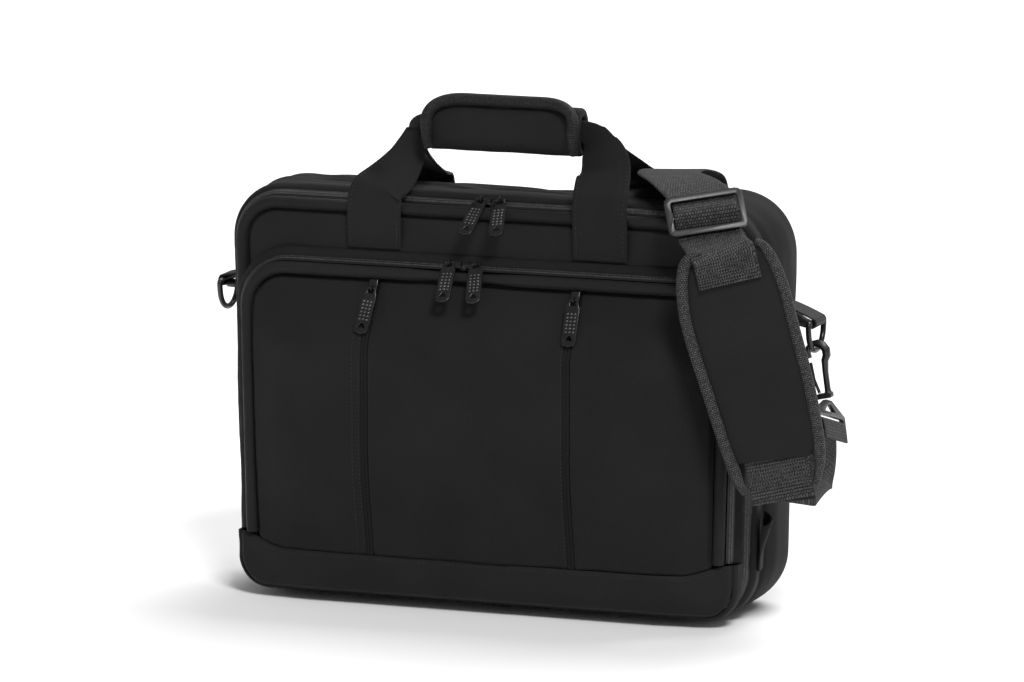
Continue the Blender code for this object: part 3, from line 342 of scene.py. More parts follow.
@dataclass(frozen=True)
class Cloth:
    """Matt coated twill: a fine slanting weave, faint unevenness of tone and a soft sheen."""

    name: str = "twill"
    dark: tuple[float, float, float] = (0.0060, 0.0061, 0.0064)
    light: tuple[float, float, float] = (0.0108, 0.0109, 0.0113)
    rough: float = 0.76
    sheen: float = 0.015
    thread: float = 0.00055

    def material(self) -> bpy.types.Material:
        """Builds the material."""
        wiring = Wiring(self.name)
        weave = wiring.add("TexWave", wave_type="BANDS", bands_direction="X", Scale=1.0, Distortion=1.2,
                           Detail=2.0, Detail_Scale=2.0)
        count = 1.0 / (self.thread * 20 / (2 * math.pi))
        slanted = wiring.scaled("UV", (count / 2, count / 2, 1), math.radians(27))
        wiring.link(slanted, weave.inputs["Vector"])
        grain = wiring.noise("Object", 900.0, 2.0)
        tone = wiring.noise("Object", 14.0, 4.0)
        shade = wiring.maths("ADD", wiring.maths("MULTIPLY", weave.outputs["Fac"], 0.30),
                             wiring.maths("MULTIPLY", tone, 0.75))
        wiring.link(wiring.mixed(shade, self.dark, self.light), wiring.shader.inputs["Base Color"])
        wiring.bumps(((weave.outputs["Fac"], 0.00008, 0.55), (grain, 0.00010, 0.35),
                      (wiring.noise("Object", 60.0), 0.0006, 0.18)))
        wiring.surface(self.rough, Sheen_Weight=self.sheen, Sheen_Roughness=0.45, Specular_IOR_Level=0.16)
        return wiring.material


@dataclass(frozen=True)
class Woven:
    """Coarse narrow weave of webbing or binding tape: offset ribs with light specks on dark threads."""

    name: str
    dark: tuple[float, float, float]
    light: tuple[float, float, float]
    rib: float = 0.0016
    row: float = 0.0011
    turn: float = 0.0
    height: float = 0.00030
    rough: float = 0.62

    def material(self) -> bpy.types.Material:
        """Builds the material."""
        wiring = Wiring(self.name)
        tones = (self.light, [0.42 * c for c in self.light], self.dark)
        place = wiring.scaled("UV", (1000, 1000, 1), self.turn)
        brick = wiring.bricks(place, (self.rib, self.row), (0.34, 0.6), tones)
        speck = wiring.noise("UV", 1400.0, 1.0)
        blend = wiring.add("Mix", data_type="RGBA", blend_type="MULTIPLY")
        blend.inputs["Factor"].default_value = 0.75
        wiring.link(brick.outputs["Color"], blend.inputs["A"])
        wiring.link(wiring.mixed(speck, (0.45, 0.45, 0.46), (1.5, 1.5, 1.5), 0.40, 0.62), blend.inputs["B"])
        wiring.link(blend.outputs["Result"], wiring.shader.inputs["Base Color"])
        lift = wiring.maths("SUBTRACT", 1.0, brick.outputs["Fac"])
        wiring.bumps(((lift, self.height, 0.9), (speck, 0.00012, 0.4)))
        wiring.surface(self.rough, Sheen_Weight=0.02, Sheen_Roughness=0.4, Specular_IOR_Level=0.22)
        return wiring.material


@dataclass(frozen=True)
class Coil:
    """A zip: dark tape with two rows of small teeth down its middle; the teeth's lighter colour is a painted
    highlight.
    """

    name: str = "zip_coil"
    tape: tuple[float, float, float] = (0.0060, 0.0060, 0.0063)
    # Light colour of the teeth: painted highlight on the coil.
    tooth: tuple[float, float, float] = (0.085, 0.085, 0.087)
    pitch: float = 0.0017
    middle: float = 0.0040
    reach: float = 0.0019

    def material(self) -> bpy.types.Material:
        """Builds the material."""
        wiring = Wiring(self.name)
        # Teeth lighter than the tape, alternate ones half as light: painted highlight.
        tones = (self.tooth, [0.5 * c for c in self.tooth], self.tape)
        place = wiring.scaled("UV", (1000, 1000, 1))
        brick = wiring.bricks(place, (self.pitch, self.reach), (0.42, 0.4), tones)
        split = wiring.add("SeparateXYZ")
        wiring.link(place, split.inputs["Vector"])
        near = wiring.maths("COMPARE", split.outputs["Y"], self.middle * 1000, self.reach * 1000)
        blend = wiring.add("Mix", data_type="RGBA")
        wiring.link(near, blend.inputs["Factor"])
        blend.inputs["A"].default_value = (*self.tape, 1)
        wiring.link(brick.outputs["Color"], blend.inputs["B"])
        wiring.link(blend.outputs["Result"], wiring.shader.inputs["Base Color"])
        wiring.surface(0.42, Specular_IOR_Level=0.30)
        return wiring.material


@dataclass(frozen=True)
class Hard:
    """Moulded plastic or dark plated metal: fine grain, faint wear of tone and uneven gloss."""

    name: str
    dark: tuple[float, float, float]
    light: tuple[float, float, float]
    rough: float
    metallic: float = 0.0
    grain: float = 0.00003

    def material(self) -> bpy.types.Material:
        """Builds the material."""
        wiring = Wiring(self.name)
        tone = wiring.noise("Object", 120.0, 4.0)
        wiring.link(wiring.mixed(tone, self.dark, self.light), wiring.shader.inputs["Base Color"])
        gloss = wiring.add("MapRange")
        gloss.inputs["To Min"].default_value = self.rough - 0.06
        gloss.inputs["To Max"].default_value = self.rough + 0.08
        wiring.link(wiring.noise("Object", 300.0), gloss.inputs["Value"])
        wiring.link(gloss.outputs["Result"], wiring.shader.inputs["Roughness"])
        wiring.bumps(((wiring.noise("Object", 1800.0), self.grain, 0.5),))
        wiring.shader.inputs["Metallic"].default_value = self.metallic
        return wiring.material


TWILL = Cloth()
# Same twill in a lighter colour for the front panel, the rolls and the pocket band: painted light, where
# these puffed parts catch more light.
TWILL_PAINTED_LIGHT = Cloth("twill_painted_light", (0.0070, 0.0071, 0.0074), (0.0120, 0.0121, 0.0125), 0.66, 0.02)
STRAP_CLOTH = Cloth("twill_strap", (0.0066, 0.0067, 0.0070), (0.0115, 0.0116, 0.0120), 0.72, 0.02)
LINING = Cloth("zip_tape", (0.0050, 0.0050, 0.0053), (0.0085, 0.0085, 0.0088), 0.80, 0.02)
ACROSS = math.pi / 2
WEBBING = Woven("webbing", (0.002, 0.002, 0.0021), (0.062, 0.062, 0.063), 0.0020, 0.0024, ACROSS, 0.0006)
TAB_WEBBING = Woven("tab_webbing", (0.003, 0.003, 0.0031), (0.042, 0.042, 0.043), 0.0020, 0.0018, ACROSS)
BINDING = Woven("binding_tape", (0.003, 0.003, 0.0031), (0.080, 0.080, 0.082), 0.0021, 0.0016, ACROSS, 0.0004)
# Darker copy of the binding tape for the grip: painted shade, holding back the light from above that falls on
# the grip's top.
BINDING_PAINTED_SHADE = Woven("binding_tape_painted_shade", (0.002, 0.002, 0.0021), (0.030, 0.030, 0.031), 0.0021, 0.0016, ACROSS, 0.0004)
THICK_THREAD = Hard("thick_thread", (0.020, 0.020, 0.021), (0.070, 0.070, 0.072), 0.50)
THREAD = Hard("sewing_thread", (0.012, 0.012, 0.0123), (0.028, 0.028, 0.029), 0.55)
COIL = Coil()
PLATED = Hard("dark_painted_metal", (0.008, 0.008, 0.008), (0.015, 0.015, 0.015), 0.24, 0.35)
BRIGHT_RING = Hard("light_plated_metal", (0.035, 0.035, 0.035), (0.060, 0.060, 0.060), 0.34, 0.55)
MOULDED = Hard("moulded_plastic", (0.007, 0.007, 0.0072), (0.013, 0.013, 0.0133), 0.36)
# Raised dots of the pulls in a lighter colour: painted highlight where the dots catch the light.
DOT_PAINTED_HIGHLIGHT = Hard("dot_painted_highlight", (0.060, 0.060, 0.060), (0.120, 0.120, 0.120), 0.24, 0.5)
MADE: dict[str, bpy.types.Material] = {}
Finish = Cloth | Woven | Coil | Hard


def finish_of(finish: Finish) -> bpy.types.Material:
    """The material of a finish, built once."""
    if finish.name not in MADE:
        MADE[finish.name] = finish.material()
    return MADE[finish.name]


# Meshes

SHARP_ANGLE = 38


def laid_grid(columns: int, rows: int, place: Place, cut: Spot, closed: bool = False,
              flip: bool = False) -> bmesh.types.BMesh:
    """A grid of faces laid over a surface, with a UV map in metres of cloth.

    Args:
        columns: Faces along the first share.
        rows: Faces along the second share.
        place: Where the surface lies at two shares from 0 to 1.
        cut: Size of the flat cloth in metres.
        closed: Whether edges that meet are merged.
        flip: Whether the faces are turned over.

    Returns:
        The mesh.
    """
    bm = bmesh.new()
    bmesh.ops.create_grid(bm, x_segments=columns, y_segments=rows, size=0.5)
    weave = bm.loops.layers.uv.new("Weave")
    for face in bm.faces:
        for loop in face.loops:
            loop[weave].uv = ((loop.vert.co.x + 0.5) * cut[0], (loop.vert.co.y + 0.5) * cut[1])
    for vert in bm.verts:
        vert.co = place(vert.co.x + 0.5, vert.co.y + 0.5)
    if closed:
        bmesh.ops.remove_doubles(bm, verts=bm.verts, dist=0.000004)
    if flip:
        bmesh.ops.reverse_faces(bm, faces=bm.faces)
    return bm


def closed(bm: bmesh.types.BMesh) -> bmesh.types.BMesh:
    """The mesh with its open ends filled and its faces outwards."""
    bmesh.ops.holes_fill(bm, edges=bm.edges, sides=0)
    bmesh.ops.recalc_face_normals(bm, faces=bm.faces)
    return bm


def placed(name: str, data: bpy.types.ID) -> bpy.types.Object:
    """A new object in the scene."""
    obj = bpy.data.objects.new(name, data)
    bpy.context.scene.collection.objects.link(obj)
    return obj


def filled(name: str, bm: bmesh.types.BMesh) -> bpy.types.Object:
    """A new object in the scene with a mesh, which is used up."""
    mesh = bpy.data.meshes.new(name)
    bm.to_mesh(mesh)
    bm.free()
    return placed(name, mesh)


def made_piece(name: str, bm: bmesh.types.BMesh, finish: Finish, nodes: Sequence[str] = (), slot: str = "",
               body: str = "bag", wall: float = 0.0, sharp: float = 50.0) -> bpy.types.Object:
    """Makes an object of a mesh, gives it a wall and a finish, and lets it ride on the bag.

    Args:
        name: Name of the piece.
        bm: Its mesh, which is used up.
        finish: What it is finished in.
        nodes: Solids that it stands for.
        slot: Not used.
        body: What it moves with.
        wall: Thickness that an open sheet is given on its inner side.
        sharp: Angle in degrees above which an edge shows.

    Returns:
        The object.
    """
    obj = filled(name, bm)
    if wall:
        cloth = obj.modifiers.new("wall", "SOLIDIFY")
        cloth.thickness = wall
        cloth.offset = -1
        settled(obj)
    obj.data.materials.clear()
    obj.data.materials.append(finish_of(finish))
    obj.data.shade_smooth()
    obj.data.set_sharp_from_angle(angle=math.radians(sharp))
    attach(obj, body)
    if nodes:
        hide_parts(*nodes)
    slot or nodes[0]
    LOG.info("%s: %d faces", name, len(obj.data.polygons))
    return obj


def settled(obj: bpy.types.Object) -> None:
    """Makes what the modifiers give into the object's own mesh."""
    bpy.context.view_layer.update()
    graph = bpy.context.evaluated_depsgraph_get()
    made = bpy.data.meshes.new_from_object(obj.evaluated_get(graph), preserve_all_data_layers=True,
                                           depsgraph=graph)
    obj.modifiers.clear()
    before = obj.data
    obj.data = made
    bpy.data.meshes.remove(before)


def along_profile(profile: Sequence[Spot], v: float) -> tuple[float, float, float, float]:
    """A point of a profile at a share of its length, and its normal there, as inset and depth."""
    marks = paced(profile)
    k, t = located(marks, v * marks[-1])
    near = (profile[max(k - 1, 0)], profile[k], profile[k + 1], profile[min(k + 2, len(profile) - 1)])
    point = [curve(a, b, c, d, t) for a, b, c, d in zip(*near)]
    slope = [0.5 * ((c - a) + 2 * (2 * a - 5 * b + 4 * c - d) * t + 3 * (3 * b - a - 3 * c + d) * t * t)
             for a, b, c, d in zip(*near)]
    size = math.hypot(*slope) or 1.0
    return point[0], point[1], slope[1] / size, slope[0] / size


Shape = Callable[[float, float, Vector, Vector], Vector]


def ring_mesh(rail: Rail, profile: Sequence[Spot], columns: int, rows: int,
              shape: Shape | None = None) -> bmesh.types.BMesh:
    """A strip of cloth that runs round an outline, its section given from front to back.

    Args:
        rail: The run that it follows.
        profile: Inset and depth of the section's points, front first.
        columns: Faces along the run.
        rows: Faces across the strip.
        shape: Moves a point, given its place along in metres, its share across, the point and its normal.

    Returns:
        The mesh, its faces outwards.
    """
    width = sum(math.dist(a, b) for a, b in zip(profile, profile[1:]))
    spots: dict[float, tuple[float, float, float, float]] = {}

    def place(u: float, v: float) -> Vector:
        """Where the strip lies."""
        if v not in spots:
            spots[v] = along_profile(profile, v)
        inset, depth, out, back = spots[v]
        x, z = rail.at(u, inset)
        nx, nz = rail.outward(u)
        point = Vector((x, depth, z))
        normal = Vector((nx * out, back, nz * out)).normalized()
        return shape(u * rail.length, v, point, normal) if shape else point

    return laid_grid(columns, rows, place, (rail.length, width), rail.run is Run.WHOLE, True)


def ring_roll(rail: Rail, inset: float, depth: float, radius: float, columns: int, around: int,
              swell: Callable[[float, float], float]) -> bmesh.types.BMesh:
    """A puffed roll that runs round an outline.

    Args:
        rail: The run that it follows.
        inset: How far inside the outline its middle lies.
        depth: Its middle's depth.
        radius: Its radius.
        columns: Faces along it.
        around: Faces around it.
        swell: Share of the radius, by the place along the run in metres and the share around.

    Returns:
        The mesh, its faces outwards.
    """
    def place(u: float, v: float) -> Vector:
        """Where the roll's skin lies."""
        x, z = rail.at(u, inset)
        nx, nz = rail.outward(u)
        angle = 2 * math.pi * v
        size = radius * swell(u * rail.length, v)
        out = size * math.cos(angle)
        return Vector((x + nx * out, depth + size * math.sin(angle), z + nz * out))

    bm = laid_grid(columns, around, place, (rail.length, 2 * math.pi * radius), True, True)
    bmesh.ops.holes_fill(bm, edges=bm.edges, sides=0)
    return bm


Triple = tuple[float, float, float]
Station = tuple[Triple, Triple, float]


class Route:
    """A smooth run through chosen stations, each a middle, a width direction and a width."""

    def __init__(self, stations: Sequence[Station], samples: int, cyclic: bool = False) -> None:
        """Samples the run evenly.

        Args:
            stations: The chosen stations in order.
            samples: How many steps the run is cut into.
            cyclic: Whether it comes back to its start.
        """
        rows = [[*centre, *across, width] for centre, across, width in stations]
        count = len(rows)
        last = count if cyclic else count - 1
        fine: list[list[float]] = []
        for k in range(last):
            ids = [(k + j) % count if cyclic else min(max(k + j, 0), count - 1) for j in (-1, 0, 1, 2)]
            a, b, c, d = (rows[i] for i in ids)
            for j in range(16):
                fine.append([curve(p, q, r, s, j / 16) for p, q, r, s in zip(a, b, c, d)])
        fine.append(list(rows[0] if cyclic else rows[-1]))
        marks = paced([row[:3] for row in fine])
        self.length = marks[-1]
        self.samples = samples
        even = []
        for k in range(samples + 1):
            i, t = located(marks, self.length * k / samples)
            even.append([p + (q - p) * t for p, q in zip(fine[i], fine[i + 1])])
        self.frames: list[tuple[Vector, Vector, Vector, Vector, float]] = []
        for k, row in enumerate(even):
            before = even[(k - 1) % samples if cyclic else max(k - 1, 0)]
            after = even[(k + 1) % samples if cyclic and k == samples else min(k + 1, samples)]
            along = (Vector(after[:3]) - Vector(before[:3])).normalized()
            wide = Vector(row[3:6])
            side = (wide - along * wide.dot(along)).normalized()
            self.frames.append((Vector(row[:3]), along, side, side.cross(along).normalized(), row[6]))

    def at(self, u: float) -> tuple[Vector, Vector, Vector, Vector, float]:
        """Middle, direction, width direction, normal and width at a share of the run."""
        return self.frames[min(int(round(u * self.samples)), self.samples)]


def flat_section(thickness: float, width: float, steps: int) -> list[Spot]:
    """Section of a flat strap, as shares of half its width and half its thickness, its edges round."""
    round_edge = min(0.5, thickness / width)
    top = [(1 - round_edge - (2 - 2 * round_edge) * k / steps, 1.0) for k in range(steps + 1)]
    edge = [(-1 + round_edge * 0.30, 0.72), (-1.0, 0.0), (-1 + round_edge * 0.30, -0.72)]
    under = [(-x, -1.0) for x, _ in top]
    return top + edge + under + [(-x, -n) for x, n in edge]


def swept(route: Route, section: Sequence[Spot], thickness: float,
          shape: Shape | None = None) -> bmesh.types.BMesh:
    """A strap, tube or padded bar along a route.

    Args:
        route: The run that it follows.
        section: Shares of half the width and half the thickness, anticlockwise as seen from the start.
        thickness: Its thickness in metres.
        shape: Moves a point, given its place along in metres, its share of the half width, the point and
            its normal.

    Returns:
        The mesh, closed at its ends.
    """
    count = len(section)

    def place(u: float, v: float) -> Vector:
        """Where the skin lies."""
        centre, _, side, normal, width = route.at(u)
        a, n = section[int(round(v * count)) % count]
        point = centre + side * (a * width / 2) + normal * (n * thickness / 2)
        return shape(u * route.length, a, point, normal * (1 if n >= 0 else -1)) if shape else point

    widest = max(f[4] for f in route.frames)
    return closed(laid_grid(route.samples, count, place, (route.length, 2 * widest + 2 * thickness), True))


def rod(points: Sequence[Triple], radius: float, samples: int, across: Triple, around: int,
        radii: Sequence[float] | None = None) -> bmesh.types.BMesh:
    """A round wire or bound edge along points.

    Args:
        points: Where its middle runs.
        radius: Its radius in metres.
        samples: Faces along it.
        across: A direction that it never runs along.
        around: Faces around it.
        radii: Shares of the radius at the points; without them it is an even ring, closed on itself.

    Returns:
        The mesh, its faces outwards.
    """
    sizes = radii or [1.0] * len(points)
    stations = [(point, across, 2 * radius * size) for point, size in zip(points, sizes)]
    route = Route(stations, samples, not radii)
    turns = [2 * math.pi * k / around for k in range(around)]
    section = [(math.cos(turn), math.sin(turn)) for turn in turns]

    def place(u: float, v: float) -> Vector:
        """Where the wire's skin lies."""
        centre, _, side, normal, width = route.at(u)
        a, n = section[int(round(v * around)) % around]
        return centre + (side * a + normal * n) * (width / 2)

    return closed(laid_grid(samples, around, place, (route.length, 2 * math.pi * radius), True))


def tapered(count: int, least: float) -> list[float]:
    """Shares of a radius at some points, down to the least at the first and the last."""
    return [least + (1 - least) * rise(min(k, count - 1 - k) / 2) for k in range(count)]


def softened(node: str, name: str, finish: Hard, width: float, body: str = "bag") -> bpy.types.Object:
    """A hard solid's copy with its sharp edges rounded.

    Args:
        node: The solid.
        name: Name of the piece.
        finish: What it is finished in.
        width: How far the rounding reaches from an edge.
        body: What it moves with.

    Returns:
        The object, which stands for the solid.
    """
    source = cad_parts[node]
    bm = bmesh.new()
    bm.from_mesh(source.data)
    bm.transform(source.matrix_world)
    bmesh.ops.remove_doubles(bm, verts=bm.verts, dist=0.00001)
    bmesh.ops.dissolve_limit(bm, angle_limit=math.radians(2), verts=bm.verts, edges=bm.edges)
    inner = [edge for edge in bm.edges if len(edge.link_faces) == 2]
    edges = [edge for edge in inner if edge.calc_face_angle() > math.radians(SHARP_ANGLE)]
    bmesh.ops.bevel(bm, geom=edges, offset=width, segments=2, profile=0.5, affect="EDGES", material=-1,
                    clamp_overlap=True)
    return made_piece(name, bm, finish, (node,), body=body, sharp=SHARP_ANGLE)


# Sizes shared by the sub-assemblies


@dataclass(frozen=True)
class BagForm:
    """Outlines and depths of the bag, in metres."""

    half_top: float = 0.2170
    half_foot: float = 0.2105
    height: float = 0.320
    front_y: float = -0.0315
    seam_y: float = 0.0030
    rear_y: float = 0.0775
    face_y: float = -0.0525
    pocket_x: float = 0.0025
    bulge: float = 0.025
    band_height: float = 0.036
    band_lift: float = 0.0090
    seam_left: float = 0.0850
    seam_right: float = 0.0785
    slump: float = 0.0055
    pinch: float = 0.0030
    roll: float = 0.0046
    pulls_x: float = -0.0140

    @cached_property
    def main(self) -> Outline:
        """Outline of the main compartment."""
        return Outline(self.half_top, self.half_foot, 0.0, self.height, 0.044, 0.041)

    @cached_property
    def rear(self) -> Outline:
        """Outline of the rear compartment."""
        return Outline(self.half_top, self.half_foot, 0.0020, self.height - 0.0015, 0.044, 0.041)

    @cached_property
    def pocket(self) -> Outline:
        """Outline of the front pocket."""
        return Outline(0.2085, 0.2030, 0.0060, 0.2740, 0.047, 0.025, self.pocket_x)

    @cached_property
    def face(self) -> Outline:
        """Outline of the pocket's face inside its roll."""
        return self.pocket.inset(0.0192)

    @cached_property
    def band(self) -> Outline:
        """Outline of the pocket's base band."""
        return self.pocket.inset(0.0036)

    @property
    def band_z(self) -> float:
        """Height of the band's seam in the middle."""
        return self.pocket.low + self.band_height

    def swell(self, shape: Outline, x: float, z: float) -> float:
        """0 at a panel's edge, 1 over most of it."""
        side = max(0.0, 1 - abs(x) / shape.half(z)) * shape.half_top
        width = 0.30 * shape.half_top
        up, down = max(0.0, shape.high - z), max(0.0, z - shape.low)
        return rise(side / width) ** 0.8 * rise(up / width) ** 0.9 * rise((down + 0.010) / width) ** 0.7

    def main_depth(self, x: float, z: float) -> float:
        """Depth of the main front panel."""
        return self.front_y - 0.0010 - 0.0050 * self.swell(self.main.inset(0.0185), x, z)

    def back_depth(self, x: float, z: float) -> float:
        """Depth of the plain padded back."""
        return self.rear_y + 0.0045 * self.swell(self.rear.inset(0.0200), x, z)

    def pocket_depth(self, x: float, z: float) -> float:
        """Depth of the pocket's face, fuller in the middle and flatter towards the base."""
        width = 0.34 * self.band.half_top
        side = rise((self.band.half(z) - abs(x - self.pocket_x)) / width) ** 0.75
        up = rise((self.face.high - z) / (0.8 * width)) ** 0.85
        share_up = (z - self.band.low) / (self.face.high - self.band.low)
        fall = 0.42 + 0.58 * rise(share_up / 0.50)
        foot = rise((z - self.band.low + 0.012) / 0.026)
        return self.face_y + 0.0015 - (self.bulge + 0.0015) * side * up * fall * foot

    def seam_lift(self, x: float) -> float:
        """How far the band's seam has climbed at a place across the pocket."""
        return self.band_lift * rise((abs(x - self.pocket_x) / self.band.half(self.band_z) - 0.80) / 0.20)

    def slumped(self, point: Vector) -> Vector:
        """A point of the rear cloth once its empty top has sagged at the left and in the middle."""
        share = max(0.0, (point.y - self.seam_y) / (self.rear_y - self.seam_y))
        deep = rise(share / 0.5) * rise((1.0 - share) / 0.14)
        taut = 1.5 * rise((point.x - 0.0300) / 0.1200)
        sag = self.slump * (1 - taut) * rise((point.x + self.half_top) / 0.0600)
        high = rise((point.z - 0.80 * self.height) / (0.19 * self.height))
        return point - Vector((0, 0, sag * deep * high))

    def pinched(self, point: Vector) -> Vector:
        """A point of the side cloth drawn in near the middle seam, and kept off the floor."""
        near = rise(1 - abs(point.y - self.seam_y) / (0.30 * (self.rear_y - self.seam_y)))
        amount = self.pinch * near * rise(abs(point.x) / self.half_foot * 2 - 1) * rise(point.z / 0.041)
        return Vector((point.x - math.copysign(amount, point.x), point.y, max(point.z, FLOOR_GAP)))


FORM = BagForm()


ABOVE = 0.0001


class Stitching:
    """Short raised stitches gathered into one piece, laid a little above the cloth."""

    def __init__(self) -> None:
        """Starts without stitches."""
        self.bm = bmesh.new()

    def run(self, points: Sequence[Vector], outward: Sequence[Vector], length: float, gap: float,
            thick: float) -> None:
        """Sews along points.

        Args:
            points: Where the seam runs, closely spaced.
            outward: The cloth's normal at each point.
            length: Length of one stitch.
            gap: Cloth between two stitches.
            thick: Thickness of the thread.
        """
        marks = [0.0]
        for a, b in zip(points, points[1:]):
            marks.append(marks[-1] + (b - a).length)
        for k in range(int(marks[-1] / (length + gap))):
            i, t = located(marks, (k + 0.5) * (length + gap))
            normal = outward[i].normalized()
            along = points[i + 1] - points[i]
            along = (along - normal * along.dot(normal)).normalized()
            axes = (along * length, normal.cross(along) * thick, normal * thick * 0.7)
            seat = Matrix.Translation(points[i].lerp(points[i + 1], t) + normal * thick * 0.20)
            matrix = seat @ Matrix(axes).transposed().to_4x4()
            bmesh.ops.create_icosphere(self.bm, subdivisions=1, radius=0.5, matrix=matrix)

    def sewn(self, name: str, slot: str, finish: Hard | None = None) -> bpy.types.Object:
        """The piece that holds all the stitches."""
        return made_piece(name, self.bm, finish or THREAD, (), slot, sharp=80)


def coil_shape(pitch: float, height: float) -> Shape:
    """Relief of a zip's coil along its tape: two rows of slanting teeth and the line where they meet."""
    def shape(arc: float, v: float, point: Vector, normal: Vector) -> Vector:
        """A point of the tape raised to the coil."""
        across = 2 * v - 1
        crown = max(0.0, 1 - (across / 0.52) ** 2) ** 0.5
        side = 1 if across > 0 else 0
        tooth = 0.5 + 0.5 * math.sin(2 * math.pi * (arc / pitch + 0.5 * side + 0.25 * across))
        valley = rise(1 - abs(across) / 0.10)
        raised = height * crown * (0.62 + 0.38 * tooth) * (1 - 0.45 * valley)
        return point + normal * (raised + (0.00015 if crown == 0 else 0))
    return shape


def zip_coil(name: str, node: str, rail: Rail, profile: Sequence[Spot], height: float) -> None:
    """A zip's tape with its coil.

    Args:
        name: Name of the piece.
        node: The solid that it stands for.
        rail: The run that it follows.
        profile: Inset and depth of the tape's section, front first.
        height: How far the coil stands up.
    """
    columns = int(rail.length / COIL.pitch) * 4
    bm = ring_mesh(rail, profile, columns, 8, coil_shape(COIL.pitch, height))
    made_piece(name, bm, COIL, (node,), wall=0.0011)


def gathered(arc: float, v: float, fine: float, slow: float, seed: float) -> float:
    """How much a roll's radius differs where its seam gathers it.

    Args:
        arc: Place along the roll in metres.
        v: Share around it.
        fine: How closely the gathers follow each other.
        slow: How closely its thicker stretches do.
        seed: Tells one roll's unevenness from another's.

    Returns:
        A share of the radius.
    """
    aside, up = math.cos(2 * math.pi * v), math.sin(2 * math.pi * v)
    gather = 0.045 * ripple(arc * fine, 3.0 * aside, 2.0 * up + 2 * seed)
    return gather + 0.035 * ripple(arc * slow, 1.5 * aside, 7.0 + seed)


